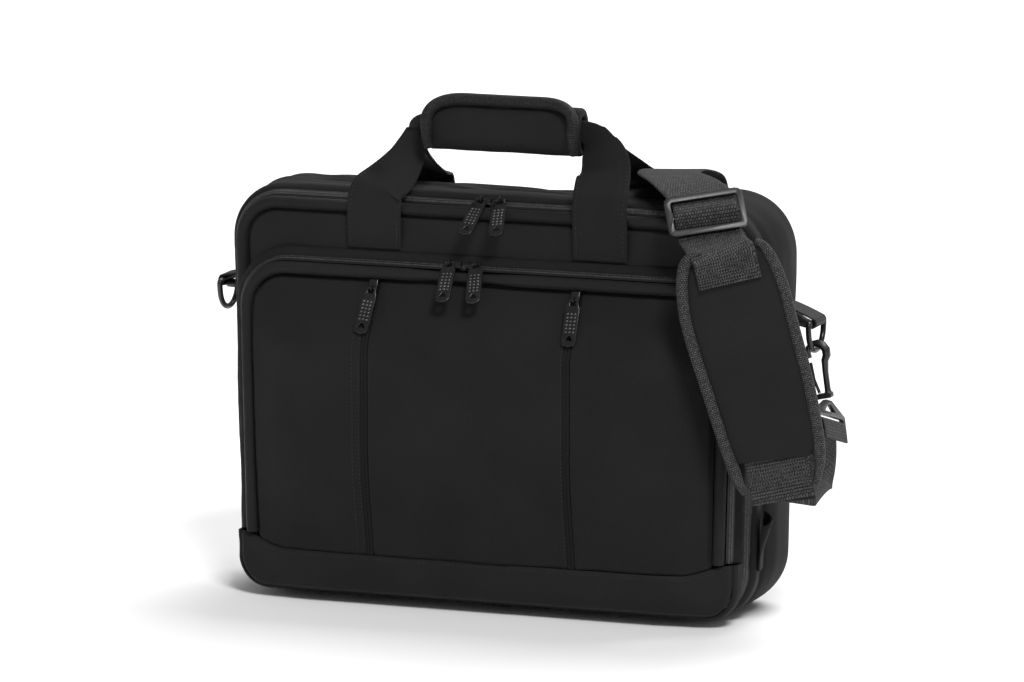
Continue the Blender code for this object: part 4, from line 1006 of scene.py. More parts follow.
@dataclass
class MainCompartment:
    """Front panel, puffed roll, zip, side cloth of both compartments and the plain back."""

    form: BagForm = FORM
    panel_inset: float = 0.0185
    roll_inset: float = 0.0136
    wall: float = 0.0020

    def build(self) -> None:
        """Builds every piece of the two compartments."""
        self.front_panel()
        self.front_roll()
        self.zip()
        self.side_cloth()
        self.rear_cloth()
        self.back()

    def front_panel(self) -> None:
        """The panel behind the pocket, its edge tucked in beside the roll."""
        shape = self.form.main.inset(self.panel_inset)

        def place(u: float, v: float) -> Vector:
            """Where the panel lies."""
            z = shape.low + (shape.high - shape.low) * crowd(v)
            x = shape.left(z) + (shape.right(z) - shape.left(z)) * crowd(u)
            near = shape.within(x, z)
            tuck = 0.0032 * (1 - rise(near / 0.0035))
            pucker = 0.0005 * ripple(x * 95, z * 30, 1.0) * math.exp(-near / 0.010)
            wave = 0.0020 * ripple(x * 16, z * 22, 4.0) * rise(near / 0.02)
            return Vector((x, self.form.main_depth(x, z) + tuck + pucker + wave, z))

        bm = laid_grid(150, 110, place, (2 * shape.half_top, shape.high - shape.low))
        made_piece("front_panel", bm, TWILL_PAINTED_LIGHT, ("main_front_panel",), wall=self.wall)

    def front_roll(self) -> None:
        """The puffed roll round the front panel, gathered a little by its seam."""
        rail = Rail(self.form.main)

        def swell(arc: float, v: float) -> float:
            """Share of the radius."""
            return 1.0 + gathered(arc, v, 130, 28, 0)

        bm = ring_roll(rail, self.roll_inset, self.form.front_y + 0.0012, self.form.roll, 900, 20, swell)
        made_piece("front_roll", bm, TWILL_PAINTED_LIGHT, ("main_front_roll",))

    def zip(self) -> None:
        """Tape and coil of the main zip."""
        front = self.form.front_y
        profile = ((0.0095, front + 0.0053), (0.0068, front + 0.0083), (0.0040, front + 0.0118))
        zip_coil("main_zip_coil", "main_zip", Rail(self.form.main), profile, 0.0011)

    def side_cloth(self) -> None:
        """The narrow side cloth in front of the middle seam."""
        front, seam = self.form.front_y, self.form.seam_y
        rail = Rail(self.form.main)
        profile = ((0.0058, front + 0.0116), (0.0046, front + 0.0107), (0.0030, front + 0.0117),
                   (0.0012, front + 0.0138), (0.0003, front + 0.0165), (0.0, front + 0.0200),
                   (0.0, front + 0.0260), (0.0, seam - 0.0030), (0.0004, seam - 0.0012),
                   (0.0022, seam - 0.0004))

        def shape(arc: float, v: float, point: Vector, normal: Vector) -> Vector:
            """The cloth's unevenness: gathers beside the zip and slack across it."""
            gather = 0.00050 * ripple(arc * 120, v * 3, 2.0) * math.exp(-v / 0.25)
            slack = 0.0011 * ripple(arc * 22, v * 2.2, 9.0) * rise(v / 0.2) * rise((1 - v) / 0.15)
            return self.form.pinched(point + normal * (gather + slack - 0.0004 * rise(v / 0.2)))

        bm = ring_mesh(rail, profile, 760, 26, shape)
        made_piece("side_cloth", bm, TWILL, ("main_gusset",), wall=0.0018)

    def rear_cloth(self) -> None:
        """The deep cloth of the rear compartment, slack and creased over its empty top."""
        seam, depth = self.form.seam_y, self.form.rear_y - self.form.seam_y
        rail = Rail(self.form.rear)
        shares = ((0.0030, 0.004), (0.0010, 0.012), (0.0006, 0.04), (-0.0015, 0.12), (-0.0020, 0.45),
                  (-0.0010, 0.72), (0.0030, 0.87), (0.0090, 0.965), (0.0150, 0.992), (0.0185, 0.997))
        profile = [(inset, seam + share * depth) for inset, share in shares]

        def shape(arc: float, v: float, point: Vector, normal: Vector) -> Vector:
            """Sag over the top and creases that run along and across it."""
            high = rise((point.z - 0.24) / 0.07)
            slack = 0.0030 * ripple(arc * 11 + v * 3, v * 2.5, 3.0) * high
            creased = high * rise(v / 0.10) * (1 - rise((point.x - 0.05) / 0.10))
            crease = 0.0026 * ripple(arc * 34 - v * 9, v * 6, 5.0) * creased
            side = 0.0016 * ripple(arc * 16, v * 3.0, 8.0) * (1 - high)
            even = rise(v / 0.06) * rise((1 - v) / 0.10)
            return self.form.pinched(self.form.slumped(point + normal * ((slack + crease + side) * even)))

        bm = ring_mesh(rail, profile, 700, 56, shape)
        made_piece("rear_cloth", bm, TWILL, ("rear_gusset",), wall=0.0018)

    def back(self) -> None:
        """The plain padded back, its edge tucked into the side cloth."""
        shape = self.form.rear.inset(0.0200)

        def place(u: float, v: float) -> Vector:
            """Where the back lies."""
            z = shape.low + (shape.high - shape.low) * crowd(v)
            x = shape.right(z) + (shape.left(z) - shape.right(z)) * crowd(u)
            near = shape.within(x, z)
            tuck = 0.0030 * (1 - rise(near / 0.0040))
            wave = 0.0012 * ripple(x * 12, z * 15, 6.0)
            wave += 0.0004 * ripple(x * 90, z * 90, 2.0) * math.exp(-near / 0.012)
            return Vector((x, self.form.back_depth(x, z) - tuck + wave * rise(near / 0.01), z))

        bm = laid_grid(120, 90, place, (2 * shape.half_top, shape.high - shape.low))
        made_piece("back_cloth", bm, TWILL, ("back_panel",), wall=self.wall)


@dataclass
class FrontPocket:
    """The front pocket: strip, zip, roll, three panels of its face, two hidden zips, band and base."""

    form: BagForm = FORM
    roll_inset: float = 0.0143
    seam_zip: float = 0.005
    gap: float = 0.0003
    tape: float = 0.0010
    thread: float = 0.00034
    stitches: Stitching = field(default_factory=Stitching)

    def build(self) -> None:
        """Builds every piece of the pocket."""
        self.edge_strip()
        self.zip()
        self.roll()
        self.panels()
        self.hidden_zips()
        self.base_band()
        self.base_side()
        self.stitches.sewn("pocket_stitching", "pocket_middle_panel")

    def level(self) -> float:
        """Height at which the strip, the zip and the roll end at the sides."""
        return self.form.band_z + self.form.band_lift + self.gap

    def on_main(self, x: float, z: float) -> float:
        """Depth where the pocket is sewn to the front panel or its roll."""
        return min(self.form.front_y - 0.0048, self.form.main_depth(x, z) - 0.0013)

    def edge_strip(self) -> None:
        """The narrow strip between the front panel and the pocket's zip."""
        front = self.form.front_y
        rail = Rail(self.form.pocket, Run.HEAD, self.level())
        profile = ((0.0058, front - 0.0104), (0.0046, front - 0.0098), (0.0024, front - 0.0082),
                   (0.0006, front - 0.0064), (0.0, front - 0.0048))

        def shape(arc: float, v: float, point: Vector, normal: Vector) -> Vector:
            """Gathers, and the foot laid on the panel."""
            point = point + normal * 0.0004 * ripple(arc * 110, v * 2, 3.0)
            drop = self.on_main(point.x, point.z) - (front - 0.0048)
            return point + Vector((0, drop * rise(v), 0))

        bm = ring_mesh(rail, profile, 520, 12, shape)
        made_piece("pocket_edge_strip", bm, TWILL, ("pocket_strip",), wall=0.0013)

    def zip(self) -> None:
        """Tape and coil of the pocket's zip."""
        front = self.form.front_y
        rail = Rail(self.form.pocket, Run.HEAD, self.level())
        profile = ((0.0098, front - 0.0158), (0.0077, front - 0.0131), (0.0055, front - 0.0104))
        zip_coil("pocket_zip_coil", "pocket_zip", rail, profile, 0.0010)

    def roll(self) -> None:
        """The puffed roll round the pocket's face, pressed in under its two pulls."""
        rail = Rail(self.form.pocket, Run.HEAD, self.level())

        def swell(arc: float, v: float) -> float:
            """Share of the radius."""
            x, z = rail.at(arc / rail.length)
            pressed = 0.25 * rise(1.6 - abs(x - self.form.pulls_x) / 0.030)
            if z <= self.form.pocket.high - 0.03:
                pressed = 0.0
            return 1.0 - pressed + gathered(arc, v, 125, 25, 10)

        bm = ring_roll(rail, self.roll_inset, self.form.face_y + 0.0012, self.form.roll, 640, 20, swell)
        made_piece("pocket_edge_roll", bm, TWILL_PAINTED_LIGHT, ("pocket_roll",))

    def skin(self, x: float, z: float, seams: Sequence[float]) -> Vector:
        """A point of the face with its tucks, puckers and slack.

        Args:
            x: Place across.
            z: Height before the band's seam is lifted.
            seams: Places of the seams that bound the panel.

        Returns:
            The point.
        """
        form = self.form
        z = z + form.seam_lift(x) * max(0.0, 1 - (z - form.band_z) / (1.8 * form.band_height))
        near = form.face.within(x, z)
        if z <= form.band_z + 0.02:
            near = form.face.edge(z) - abs(x - form.pocket_x)
        foot = z - form.band_z - form.seam_lift(x)
        seam = min(abs(x - s) for s in seams)
        tuck = 0.0030 * (1 - rise(near / 0.0035))
        tuck += 0.0011 * (1 - rise(seam / 0.0022))
        tuck += 0.0011 * (1 - rise(foot / 0.0022))
        pucker = 0.00065 * ripple(x * 100, z * 100, 1.0) * math.exp(-near / 0.012)
        pucker += 0.00028 * ripple(x * 40, z * 130, 5.0) * math.exp(-seam / 0.007)
        pucker += 0.00040 * ripple(x * 110, z * 30, 9.0) * math.exp(-max(foot, 0) / 0.009)
        wave = 0.0022 * ripple(x * 13, z * 11, 2.0) + 0.0008 * ripple(x * 30, z * 22, 6.0)
        free = rise(min(near, seam * 2) / 0.03)
        return Vector((x, form.pocket_depth(x, z) + tuck + pucker + wave * free, z))

    def panels(self) -> None:
        """The three panels of the face, between the roll, the band and the two hidden zips."""
        form = self.form
        half = self.seam_zip / 2 + self.gap
        left_edge, right_edge = -form.seam_left - half, form.seam_right + half
        inner = (-form.seam_left + half, form.seam_right - half)
        low, high = form.band_z + self.gap, form.face.high
        for word, left, right, seams, columns in (
                ("left", form.face.left, lambda z: left_edge, (left_edge,), 80),
                ("middle", lambda z: inner[0], lambda z: inner[1], inner, 120),
                ("right", lambda z: right_edge, form.face.right, (right_edge,), 80)):

            def place(u: float, v: float) -> Vector:
                """Where the panel lies."""
                z = low + (high - low) * crowd(v)
                return self.skin(left(z) + (right(z) - left(z)) * crowd(u), z, seams)

            bm = laid_grid(columns, 130, place, (right(0.15) - left(0.15), high - low))
            made_piece("pocket_" + word + "_face", bm, TWILL, ("pocket_" + word + "_panel",), wall=0.0020)
        heights = [low + 0.004 + (high - low - 0.012) * k / 120 for k in range(121)]
        for x, seams in ((left_edge - 0.0068, (left_edge,)), (left_edge - 0.0014, (left_edge,)),
                         (right_edge + 0.0014, (right_edge,)), (inner[0] + 0.0014, inner),
                         (inner[1] - 0.0014, inner)):
            points = [self.skin(x, z, seams) for z in heights]
            self.stitches.run(points, [FORWARD] * len(points), 0.0022, 0.0011, self.thread)

    def hidden_zips(self) -> None:
        """The two upright zips: turned tape with a narrow groove down its middle."""
        low, high = self.form.band_z + self.gap, self.form.face.high
        for middle, name, node in ((-self.form.seam_left, "hidden_zip_left", "vertical_zip_left"),
                                   (self.form.seam_right, "hidden_zip_right", "vertical_zip_right")):
            def place(u: float, v: float) -> Vector:
                """Where the tape lies."""
                z = low + (high - low) * v
                across = 2 * u - 1
                groove = 0.0008 * (1 - rise(abs(across) / 0.22)) + 0.0004 * abs(across) ** 3
                knit = 0.00012 * math.sin(2 * math.pi * z / 0.0016) * rise(abs(across) / 0.3)
                depth = self.form.pocket_depth(middle, z) + 0.0004 + groove + knit
                return Vector((middle + across * self.seam_zip / 2, depth, z))

            bm = laid_grid(12, 560, place, (self.seam_zip, high - low))
            made_piece(name, bm, LINING, (node,), wall=self.tape)

    def base_band(self) -> None:
        """The band below the face, with a stitched line under its seam."""
        form = self.form
        low, high = form.band.low, form.band_z - self.gap

        def skin(x: float, z: float) -> Vector:
            """A point of the band."""
            top = high - z
            z = z + form.seam_lift(x) * max(0.0, (z - low) / (form.band_z - low))
            near = form.band.within(x, z)
            tuck = 0.0012 * (1 - rise(top / 0.0022)) + 0.0026 * (1 - rise(near / 0.0030))
            pucker = 0.00045 * ripple(x * 105, z * 40, 3.0) * math.exp(-top / 0.008)
            pucker += 0.0006 * ripple(x * 60, z * 60, 8.0) * math.exp(-near / 0.008)
            wave = 0.0008 * ripple(x * 22, z * 26, 2.0)
            free = rise(min(near, top) / 0.01)
            return Vector((x, form.pocket_depth(x, z) + tuck + pucker + wave * free, z))

        def place(u: float, v: float) -> Vector:
            """Where the band lies."""
            z = low + (high - low) * crowd(v, 0.6)
            return skin(form.band.left(z) + (form.band.right(z) - form.band.left(z)) * crowd(u), z)

        bm = laid_grid(240, 44, place, (2 * form.band.half_top, high - low))
        made_piece("pocket_band", bm, TWILL_PAINTED_LIGHT, ("pocket_base_band",), wall=0.0020)
        reach = form.band.half_foot - 0.012
        points = [skin(form.pocket_x - reach + 2 * reach * k / 300, high - 0.0030) for k in range(301)]
        self.stitches.run(points, [FORWARD] * len(points), 0.0024, 0.0011, self.thread)

    def base_side(self) -> None:
        """The low side cloth of the pocket, round both lower corners and along its foot."""
        form = self.form
        rail = Rail(form.pocket, Run.FOOT, form.band_z + form.band_lift - self.gap)
        behind = form.face_y + 0.0025
        profile = ((0.0042, behind + 0.0018), (0.0030, behind + 0.0012), (0.0012, behind + 0.0026),
                   (0.0003, behind + 0.0045), (0.0, behind + 0.0070), (0.0, form.front_y - 0.0048),
                   (0.0030, form.front_y + 0.0020))

        def shape(arc: float, v: float, point: Vector, normal: Vector) -> Vector:
            """Gathers at the corners, and the foot laid on the panel."""
            point = point + normal * (0.0005 * ripple(arc * 90, v * 2, 3.0) * rise((1 - v) / 0.2) - 0.0003)
            drop = self.on_main(point.x, point.z) - (form.front_y - 0.0048)
            return point + Vector((0, drop * rise(v / 0.9), 0))

        bm = ring_mesh(rail, profile, 420, 16, shape)
        made_piece("pocket_base_side", bm, TWILL, ("pocket_base_gusset",), wall=0.0018)


@dataclass
class SlipPocket:
    """The open slip pocket low on the right side."""

    form: BagForm = FORM
    low: float = 0.041
    top: float = 0.080
    mouth: float = 0.0070
    front: float = -0.0165
    back: float = 0.0015

    def build(self) -> None:
        """Builds the pocket's cloth with its turned hem."""
        def place(u: float, v: float) -> Vector:
            """Where the cloth lies."""
            level = self.low + (self.top - self.low) * v
            stand = 0.0006 + self.mouth * rise(v) ** 1.5
            y = self.front + (self.back - self.front) * u
            z = level + 0.009 * v * (u - 0.5)
            out = (1 - (2 * u - 1) ** 2) ** 0.7
            side = self.form.pinched(Vector((self.form.main.edge(z), y, z)))
            hem = 0.0007 * rise((v - 0.86) / 0.03)
            return side + Vector((0.0019 + stand * out + hem + 0.0003 * ripple(y * 90, z * 60, 3.0), 0, 0))

        bm = laid_grid(36, 60, place, (0.018, 0.039))
        made_piece("slip_pocket_cloth", bm, TWILL, ("side_slip_pocket",), wall=0.0015)


@dataclass
class Handle:
    """Two strap loops, the padded grip that closes on them and its bound edge."""

    form: BagForm = FORM
    strap: float = 0.0022
    grip_x: float = 0.0040
    grip_half: float = 0.0620
    grip_low: float = 0.3480
    grip_high: float = 0.3870
    grip_y: float = -0.0010
    grip_depth: float = 0.027
    grip_wall: float = 0.0070
    binding: float = 0.0046
    stitch: Triple = (0.0024, 0.0011, 0.00036)
    hem: float = 0.0030
    folded: float = 0.030
    leg_x: float = 0.0915
    leg_width: float = 0.044
    box_half: float = 0.0186
    box_foot: float = 0.0025
    box_top: float = 0.2965
    front_stations: Sequence[Station] = (
        ((-0.0915, -0.0363, 0.2762), (-1.00, 0.00, 0.00), 0.0440),
        ((-0.0915, -0.0369, 0.3000), (-1.00, 0.00, 0.00), 0.0440),
        ((-0.0910, -0.0369, 0.3110), (-1.00, 0.00, 0.00), 0.0440),
        ((-0.0897, -0.0335, 0.3213), (-1.00, 0.00, 0.05), 0.0431),
        ((-0.0808, -0.0240, 0.3300), (-0.92, 0.00, 0.38), 0.0370),
        ((-0.0743, -0.0152, 0.3414), (-0.68, 0.00, 0.73), 0.0290),
        ((-0.0709, -0.0084, 0.3522), (-0.37, 0.00, 0.93), 0.0238),
        ((-0.0676, -0.0050, 0.3615), (-0.09, 0.00, 1.00), 0.0194),
        ((-0.0614, -0.0030, 0.3685), (-0.00, 0.00, 1.00), 0.0168),
        ((-0.0280, -0.0030, 0.3685), (-0.00, 0.00, 1.00), 0.0168),
        ((0.0360, -0.0030, 0.3685), (0.00, 0.00, 1.00), 0.0168),
        ((0.0660, -0.0030, 0.3685), (0.00, 0.00, 1.00), 0.0168),
        ((0.0758, -0.0047, 0.3640), (0.24, 0.00, 0.97), 0.0270),
        ((0.0812, -0.0084, 0.3560), (0.56, 0.00, 0.83), 0.0385),
        ((0.0866, -0.0145, 0.3470), (0.88, 0.00, 0.46), 0.0430),
        ((0.0892, -0.0227, 0.3388), (1.00, 0.00, 0.09), 0.0440),
        ((0.0909, -0.0342, 0.3240), (1.00, 0.00, 0.00), 0.0440),
        ((0.0910, -0.0369, 0.3110), (1.00, 0.00, 0.00), 0.0440),
        ((0.0915, -0.0369, 0.3000), (1.00, 0.00, 0.00), 0.0440),
        ((0.0915, -0.0363, 0.2762), (1.00, 0.00, 0.00), 0.0440))
    rear_stations: Sequence[Station] = (
        ((-0.0915, 0.0811, 0.2740), (-1.00, 0.00, 0.00), 0.0440),
        ((-0.0915, 0.0806, 0.3000), (-1.00, 0.00, 0.00), 0.0440),
        ((-0.0910, 0.0806, 0.3110), (-1.00, 0.00, 0.00), 0.0440),
        ((-0.0897, 0.0726, 0.3213), (-1.00, 0.00, 0.05), 0.0431),
        ((-0.0808, 0.0504, 0.3300), (-0.92, 0.00, 0.38), 0.0370),
        ((-0.0743, 0.0297, 0.3414), (-0.68, 0.00, 0.73), 0.0290),
        ((-0.0709, 0.0137, 0.3522), (-0.37, 0.00, 0.93), 0.0238),
        ((-0.0676, 0.0058, 0.3615), (-0.09, 0.00, 1.00), 0.0194),
        ((-0.0614, 0.0010, 0.3685), (-0.00, 0.00, 1.00), 0.0168),
        ((-0.0280, 0.0010, 0.3685), (-0.00, 0.00, 1.00), 0.0168),
        ((0.0360, 0.0010, 0.3685), (0.00, 0.00, 1.00), 0.0168),
        ((0.0660, 0.0010, 0.3685), (0.00, 0.00, 1.00), 0.0168),
        ((0.0751, 0.0058, 0.3615), (0.09, 0.00, 1.00), 0.0194),
        ((0.0777, 0.0137, 0.3522), (0.37, 0.00, 0.93), 0.0238),
        ((0.0794, 0.0297, 0.3414), (0.68, 0.00, 0.73), 0.0290),
        ((0.0839, 0.0504, 0.3300), (0.92, 0.00, 0.38), 0.0370),
        ((0.0905, 0.0726, 0.3213), (1.00, 0.00, 0.05), 0.0431),
        ((0.0910, 0.0806, 0.3110), (1.00, 0.00, 0.00), 0.0440),
        ((0.0915, 0.0806, 0.3000), (1.00, 0.00, 0.00), 0.0440),
        ((0.0915, 0.0811, 0.2740), (1.00, 0.00, 0.00), 0.0440))
    binding_left: Sequence[Triple] = (
        (-0.0552, -0.0162, 0.3530), (-0.0552, -0.0191, 0.3611), (-0.0552, -0.0196, 0.3699),
        (-0.0552, -0.0181, 0.3777), (-0.0515, -0.0148, 0.3842), (-0.0441, -0.0111, 0.3884),
        (-0.0329, -0.0084, 0.3903), (-0.0146, -0.0080, 0.3904))
    binding_middle: Triple = (0.0040, -0.0080, 0.3904)
    stitches: Stitching = field(default_factory=Stitching)

    def build(self) -> None:
        """Builds the loops, the grip and the binding."""
        self.loop("handle_front_loop", "handle_front_strap", self.front_stations, -1)
        self.loop("handle_rear_loop", "handle_rear_strap", self.rear_stations, 1)
        self.grip()
        mirrored = [(2 * self.grip_x - x, y, z) for x, y, z in reversed(self.binding_left)]
        points = [*self.binding_left, self.binding_middle, *mirrored]
        bm = rod(points, self.binding * 0.97, 260, (0, 1, 0), 18, tapered(len(points), 0.72))
        made_piece("grip_bound_edge", bm, BINDING_PAINTED_SHADE, ("grip_binding",))
        self.stitches.sewn("handle_stitching", "handle_front_strap")

    def loop(self, name: str, node: str, stations: Sequence[Station], face: int) -> None:
        """One strap loop with stitched edges and a stitched box at each foot.

        Args:
            name: Name of the piece.
            node: The solid that it stands for.
            stations: Its route.
            face: -1 where its outer side faces the front, 1 where it faces the back.
        """
        route = Route(stations, 420)

        def shape(arc: float, a: float, point: Vector, normal: Vector) -> Vector:
            """Slight fullness between the stitched edges."""
            full = 0.0004 * rise((0.80 - abs(a)) / 0.25) + 0.00015 * ripple(arc * 90, a * 3, 4.0)
            return point + normal * (full - 0.0002)

        bm = swept(route, flat_section(self.strap, self.leg_width, 22), self.strap, shape)
        made_piece(name, bm, STRAP_CLOTH, (node,), sharp=60)
        for sign in (-1, 1):
            points, outward = [], []
            for centre, _, side, normal, width in route.frames:
                out = normal if normal.y * face > 0 or abs(normal.y) < 0.2 else -normal
                points.append(centre + side * sign * (width / 2 - self.hem) + out * (self.strap / 2 + ABOVE))
                outward.append(out)
            folded = [k for k, station in enumerate(route.frames) if station[4] < self.folded]
            for leg in (slice(folded[0]), slice(folded[-1], None)):
                self.stitches.run(points[leg], outward[leg], *self.stitch)
        _, y, foot = stations[0][0]
        y += face * (self.strap / 2 + 0.0004)
        low, high = foot + self.box_foot, self.box_top
        for x in (-self.leg_x, self.leg_x):
            left, right = x - self.box_half, x + self.box_half
            corners = [(left, low), (right, low), (right, high), (left, high), (left, low)]
            for (x0, z0), (x1, z1) in zip(corners, corners[1:]):
                line = [Vector((x0 + (x1 - x0) * k / 20, y, z0 + (z1 - z0) * k / 20)) for k in range(21)]
                self.stitches.run(line, [Vector((0, face, 0))] * 21, *self.stitch)

    def grip(self) -> None:
        """The padded sleeve, open below and puffed at its ends."""
        middle = (self.grip_low + self.grip_high) / 2
        tall, deep = (self.grip_high - self.grip_low) / 2, self.grip_depth / 2
        turns = [math.radians(-78 + 336 * k / 44) for k in range(45)]
        outer = [(-math.sin(t + math.pi / 2), -math.cos(t + math.pi / 2)) for t in turns]
        count = 2 * len(outer)

        def place(u: float, v: float) -> Vector:
            """Where the sleeve's skin lies."""
            k = int(round(v * count)) % count
            share = crowd(u, 0.85)
            x = self.grip_x - self.grip_half + 2 * self.grip_half * share
            end = min(share, 1 - share) * 2 * self.grip_half
            puff = 1 - (1 - min(1.0, end / 0.0032)) ** 2
            half_wall = self.grip_wall / 2
            a, b = outer[k] if k < len(outer) else outer[count - 1 - k]
            full = half_wall * (1 if k < len(outer) else -1) * (0.25 + 0.75 * math.sqrt(max(0.0, puff)))
            corner = min(k, len(outer) - 1 - k) if k < len(outer) else min(count - 1 - k, k - len(outer))
            full *= min(1.0, 0.55 + 0.15 * corner)
            crease = 0.0005 * ripple(x * 60, a * 4, b * 4)
            along = Vector((0, a * tall, b * deep)).normalized()
            spot = Vector((x, self.grip_y + a * deep, middle + b * tall))
            return spot + along * (full - half_wall + crease)

        bm = closed(laid_grid(110, count, place, (2 * self.grip_half, 0.2), True))
        obj = made_piece("padded_grip", bm, STRAP_CLOTH, ("handle_grip",), sharp=70)


@dataclass
class ShoulderStrap:
    """The padded part, its bound edges, the webbing on both ends and the tri-glide."""

    thick: float = 0.0095
    web: float = 0.0018
    web_width: float = 0.048
    thick_stitch: Triple = (0.0017, 0.0002, 0.0015)
    binding: float = 0.0047
    pad_stations: Sequence[Station] = (
        ((0.2033, -0.0766, 0.2928), (0.914, 0.407, -0.02), 0.0540),
        ((0.2065, -0.0753, 0.2787), (0.914, 0.407, -0.02), 0.0634),
        ((0.2108, -0.0732, 0.2579), (0.921, 0.391, -0.02), 0.0694),
        ((0.2168, -0.0707, 0.2326), (0.921, 0.391, -0.02), 0.0694),
        ((0.2258, -0.0679, 0.2013), (0.927, 0.375, -0.02), 0.0680),
        ((0.2341, -0.0657, 0.1699), (0.927, 0.375, -0.02), 0.0656),
        ((0.2388, -0.0647, 0.1520), (0.92, 0.37, 0.12), 0.0640),
        ((0.2408, -0.0645, 0.1385), (0.90, 0.37, 0.30), 0.0580))
    left_edge: Sequence[Triple] = (
        (0.1880, -0.0846, 0.2950), (0.1815, -0.0868, 0.2922), (0.1772, -0.0884, 0.2862),
        (0.1756, -0.0891, 0.2794), (0.1751, -0.0893, 0.2706), (0.1754, -0.0886, 0.2604),
        (0.1765, -0.0876, 0.2488), (0.1792, -0.0866, 0.2362), (0.1829, -0.0853, 0.2223),
        (0.1875, -0.0835, 0.2069), (0.1925, -0.0817, 0.1910), (0.1973, -0.0803, 0.1754),
        (0.2018, -0.0792, 0.1608), (0.2058, -0.0781, 0.1484), (0.2095, -0.0770, 0.1375),
        (0.2131, -0.0759, 0.1270), (0.2162, -0.0748, 0.1190), (0.2200, -0.0730, 0.1118))
    right_edge: Sequence[Triple] = (
        (0.2245, -0.0668, 0.3034), (0.2296, -0.0646, 0.3006), (0.2337, -0.0631, 0.2947),
        (0.2379, -0.0614, 0.2868), (0.2416, -0.0600, 0.2776), (0.2451, -0.0587, 0.2670),
        (0.2478, -0.0573, 0.2557), (0.2507, -0.0561, 0.2430), (0.2547, -0.0550, 0.2278),
        (0.2590, -0.0541, 0.2116), (0.2630, -0.0531, 0.1950), (0.2664, -0.0523, 0.1790),
        (0.2690, -0.0518, 0.1650), (0.2708, -0.0516, 0.1524), (0.2717, -0.0517, 0.1403),
        (0.2715, -0.0520, 0.1300), (0.2690, -0.0532, 0.1180))
    long_stations: Sequence[tuple[Triple, Triple]] = (
        ((0.2105, -0.0808, 0.2725), (0.89, 0.40, 0.22)),
        ((0.2092, -0.0813, 0.2787), (0.89, 0.40, 0.23)),
        ((0.2077, -0.0819, 0.2851), (0.89, 0.40, 0.24)),
        ((0.2060, -0.0823, 0.2925), (0.89, 0.40, 0.24)),
        ((0.2020, -0.0790, 0.2968), (0.89, 0.40, 0.22)),
        ((0.1930, -0.0672, 0.3003), (0.90, 0.41, 0.17)),
        ((0.1862, -0.0575, 0.3036), (0.90, 0.41, 0.14)),
        ((0.1835, -0.0536, 0.3088), (0.90, 0.41, 0.14)),
        ((0.1824, -0.0544, 0.3192), (0.90, 0.41, 0.14)),
        ((0.1802, -0.0515, 0.3245), (0.90, 0.41, 0.14)),
        ((0.1740, -0.0400, 0.3290), (0.90, 0.42, 0.13)),
        ((0.1620, -0.0270, 0.3338), (0.89, 0.45, 0.10)),
        ((0.1455, -0.0070, 0.3370), (0.90, 0.43, 0.04)),
        ((0.1270, 0.0200, 0.3372), (0.92, 0.39, 0.00)),
        ((0.1240, 0.0500, 0.3350), (0.95, 0.31, 0.00)),
        ((0.1270, 0.0806, 0.3262), (0.99, 0.10, 0.00)),
        ((0.1280, 0.0907, 0.3104), (1.00, 0.00, 0.00)),
        ((0.1263, 0.0922, 0.2880), (0.99, 0.00, -0.15)),
        ((0.0813, 0.0922, 0.2304), (0.76, 0.00, -0.65)),
        ((0.0171, 0.0930, 0.1792), (0.45, 0.00, -0.89)),
        ((-0.0642, 0.0953, 0.1568), (0.05, 0.00, -1.00)),
        ((-0.1327, 0.1023, 0.1664), (-0.15, 0.00, -0.99)),
        ((-0.2144, 0.1415, 0.2112), (-0.05, -0.11, -0.99)),
        ((-0.2230, 0.1279, 0.2135), (-0.06, -0.13, -0.99)),
        ((-0.2242, 0.1156, 0.2152), (-0.06, -0.13, -0.99)),
        ((-0.2255, 0.1092, 0.2162), (-0.06, -0.13, -0.99)),
        ((-0.2235, 0.1069, 0.2164), (-0.06, -0.13, -0.99)),
        ((-0.2205, 0.1071, 0.2162), (-0.06, -0.13, -0.99)),
        ((-0.2175, 0.1117, 0.2154), (-0.06, -0.13, -0.99)),
        ((-0.2141, 0.1199, 0.2141), (-0.06, -0.13, -0.99)))
    short_stations: Sequence[tuple[Triple, Triple]] = (
        ((0.2405, -0.0640, 0.1420), (0.90, 0.37, 0.28)),
        ((0.2441, -0.0640, 0.1249), (0.91, 0.37, 0.08)),
        ((0.2473, -0.0630, 0.1083), (0.91, 0.37, -0.08)),
        ((0.2470, -0.0607, 0.1062), (0.91, 0.37, -0.10)),
        ((0.2460, -0.0575, 0.1056), (0.92, 0.36, -0.10)),
        ((0.2446, -0.0439, 0.1070), (0.95, 0.25, -0.12)),
        ((0.2410, -0.0150, 0.1095), (0.95, 0.20, -0.20)),
        ((0.2405, 0.0110, 0.1145), (0.82, 0.50, -0.28)),
        ((0.2448, 0.0260, 0.1245), (0.45, 0.85, -0.25)),
        ((0.2492, 0.0348, 0.1423), (0.06, 0.96, -0.27)),
        ((0.2490, 0.0366, 0.1486), (0.06, 0.96, -0.27)),
        ((0.2514, 0.0370, 0.1505), (0.06, 0.96, -0.27)),
        ((0.2543, 0.0366, 0.1498), (0.06, 0.96, -0.27)),
        ((0.2564, 0.0351, 0.1450), (0.06, 0.96, -0.27)),
        ((0.2584, 0.0326, 0.1365), (0.06, 0.96, -0.27)))

    def build(self) -> None:
        """Builds the pad, its edges, the webbing and the tri-glide's finish."""
        self.pad()
        for name, node, points in (("pad_edge_left", "pad_binding_left", self.left_edge),
                                   ("pad_edge_right", "pad_binding_right", self.right_edge)):
            bm = rod(points, self.binding * 0.98, 260, (0.9, 0.4, 0.0), 18, tapered(len(points), 0.55))
            made_piece(name, bm, BINDING, (node,))
        self.webbing("long_webbing", "strap_long", self.long_stations, 900)
        self.webbing("short_webbing", "strap_short", self.short_stations, 420)
        softened("tri_glide", "tri_glide_softened", MOULDED, 0.0007)
        self.stitched_ends()

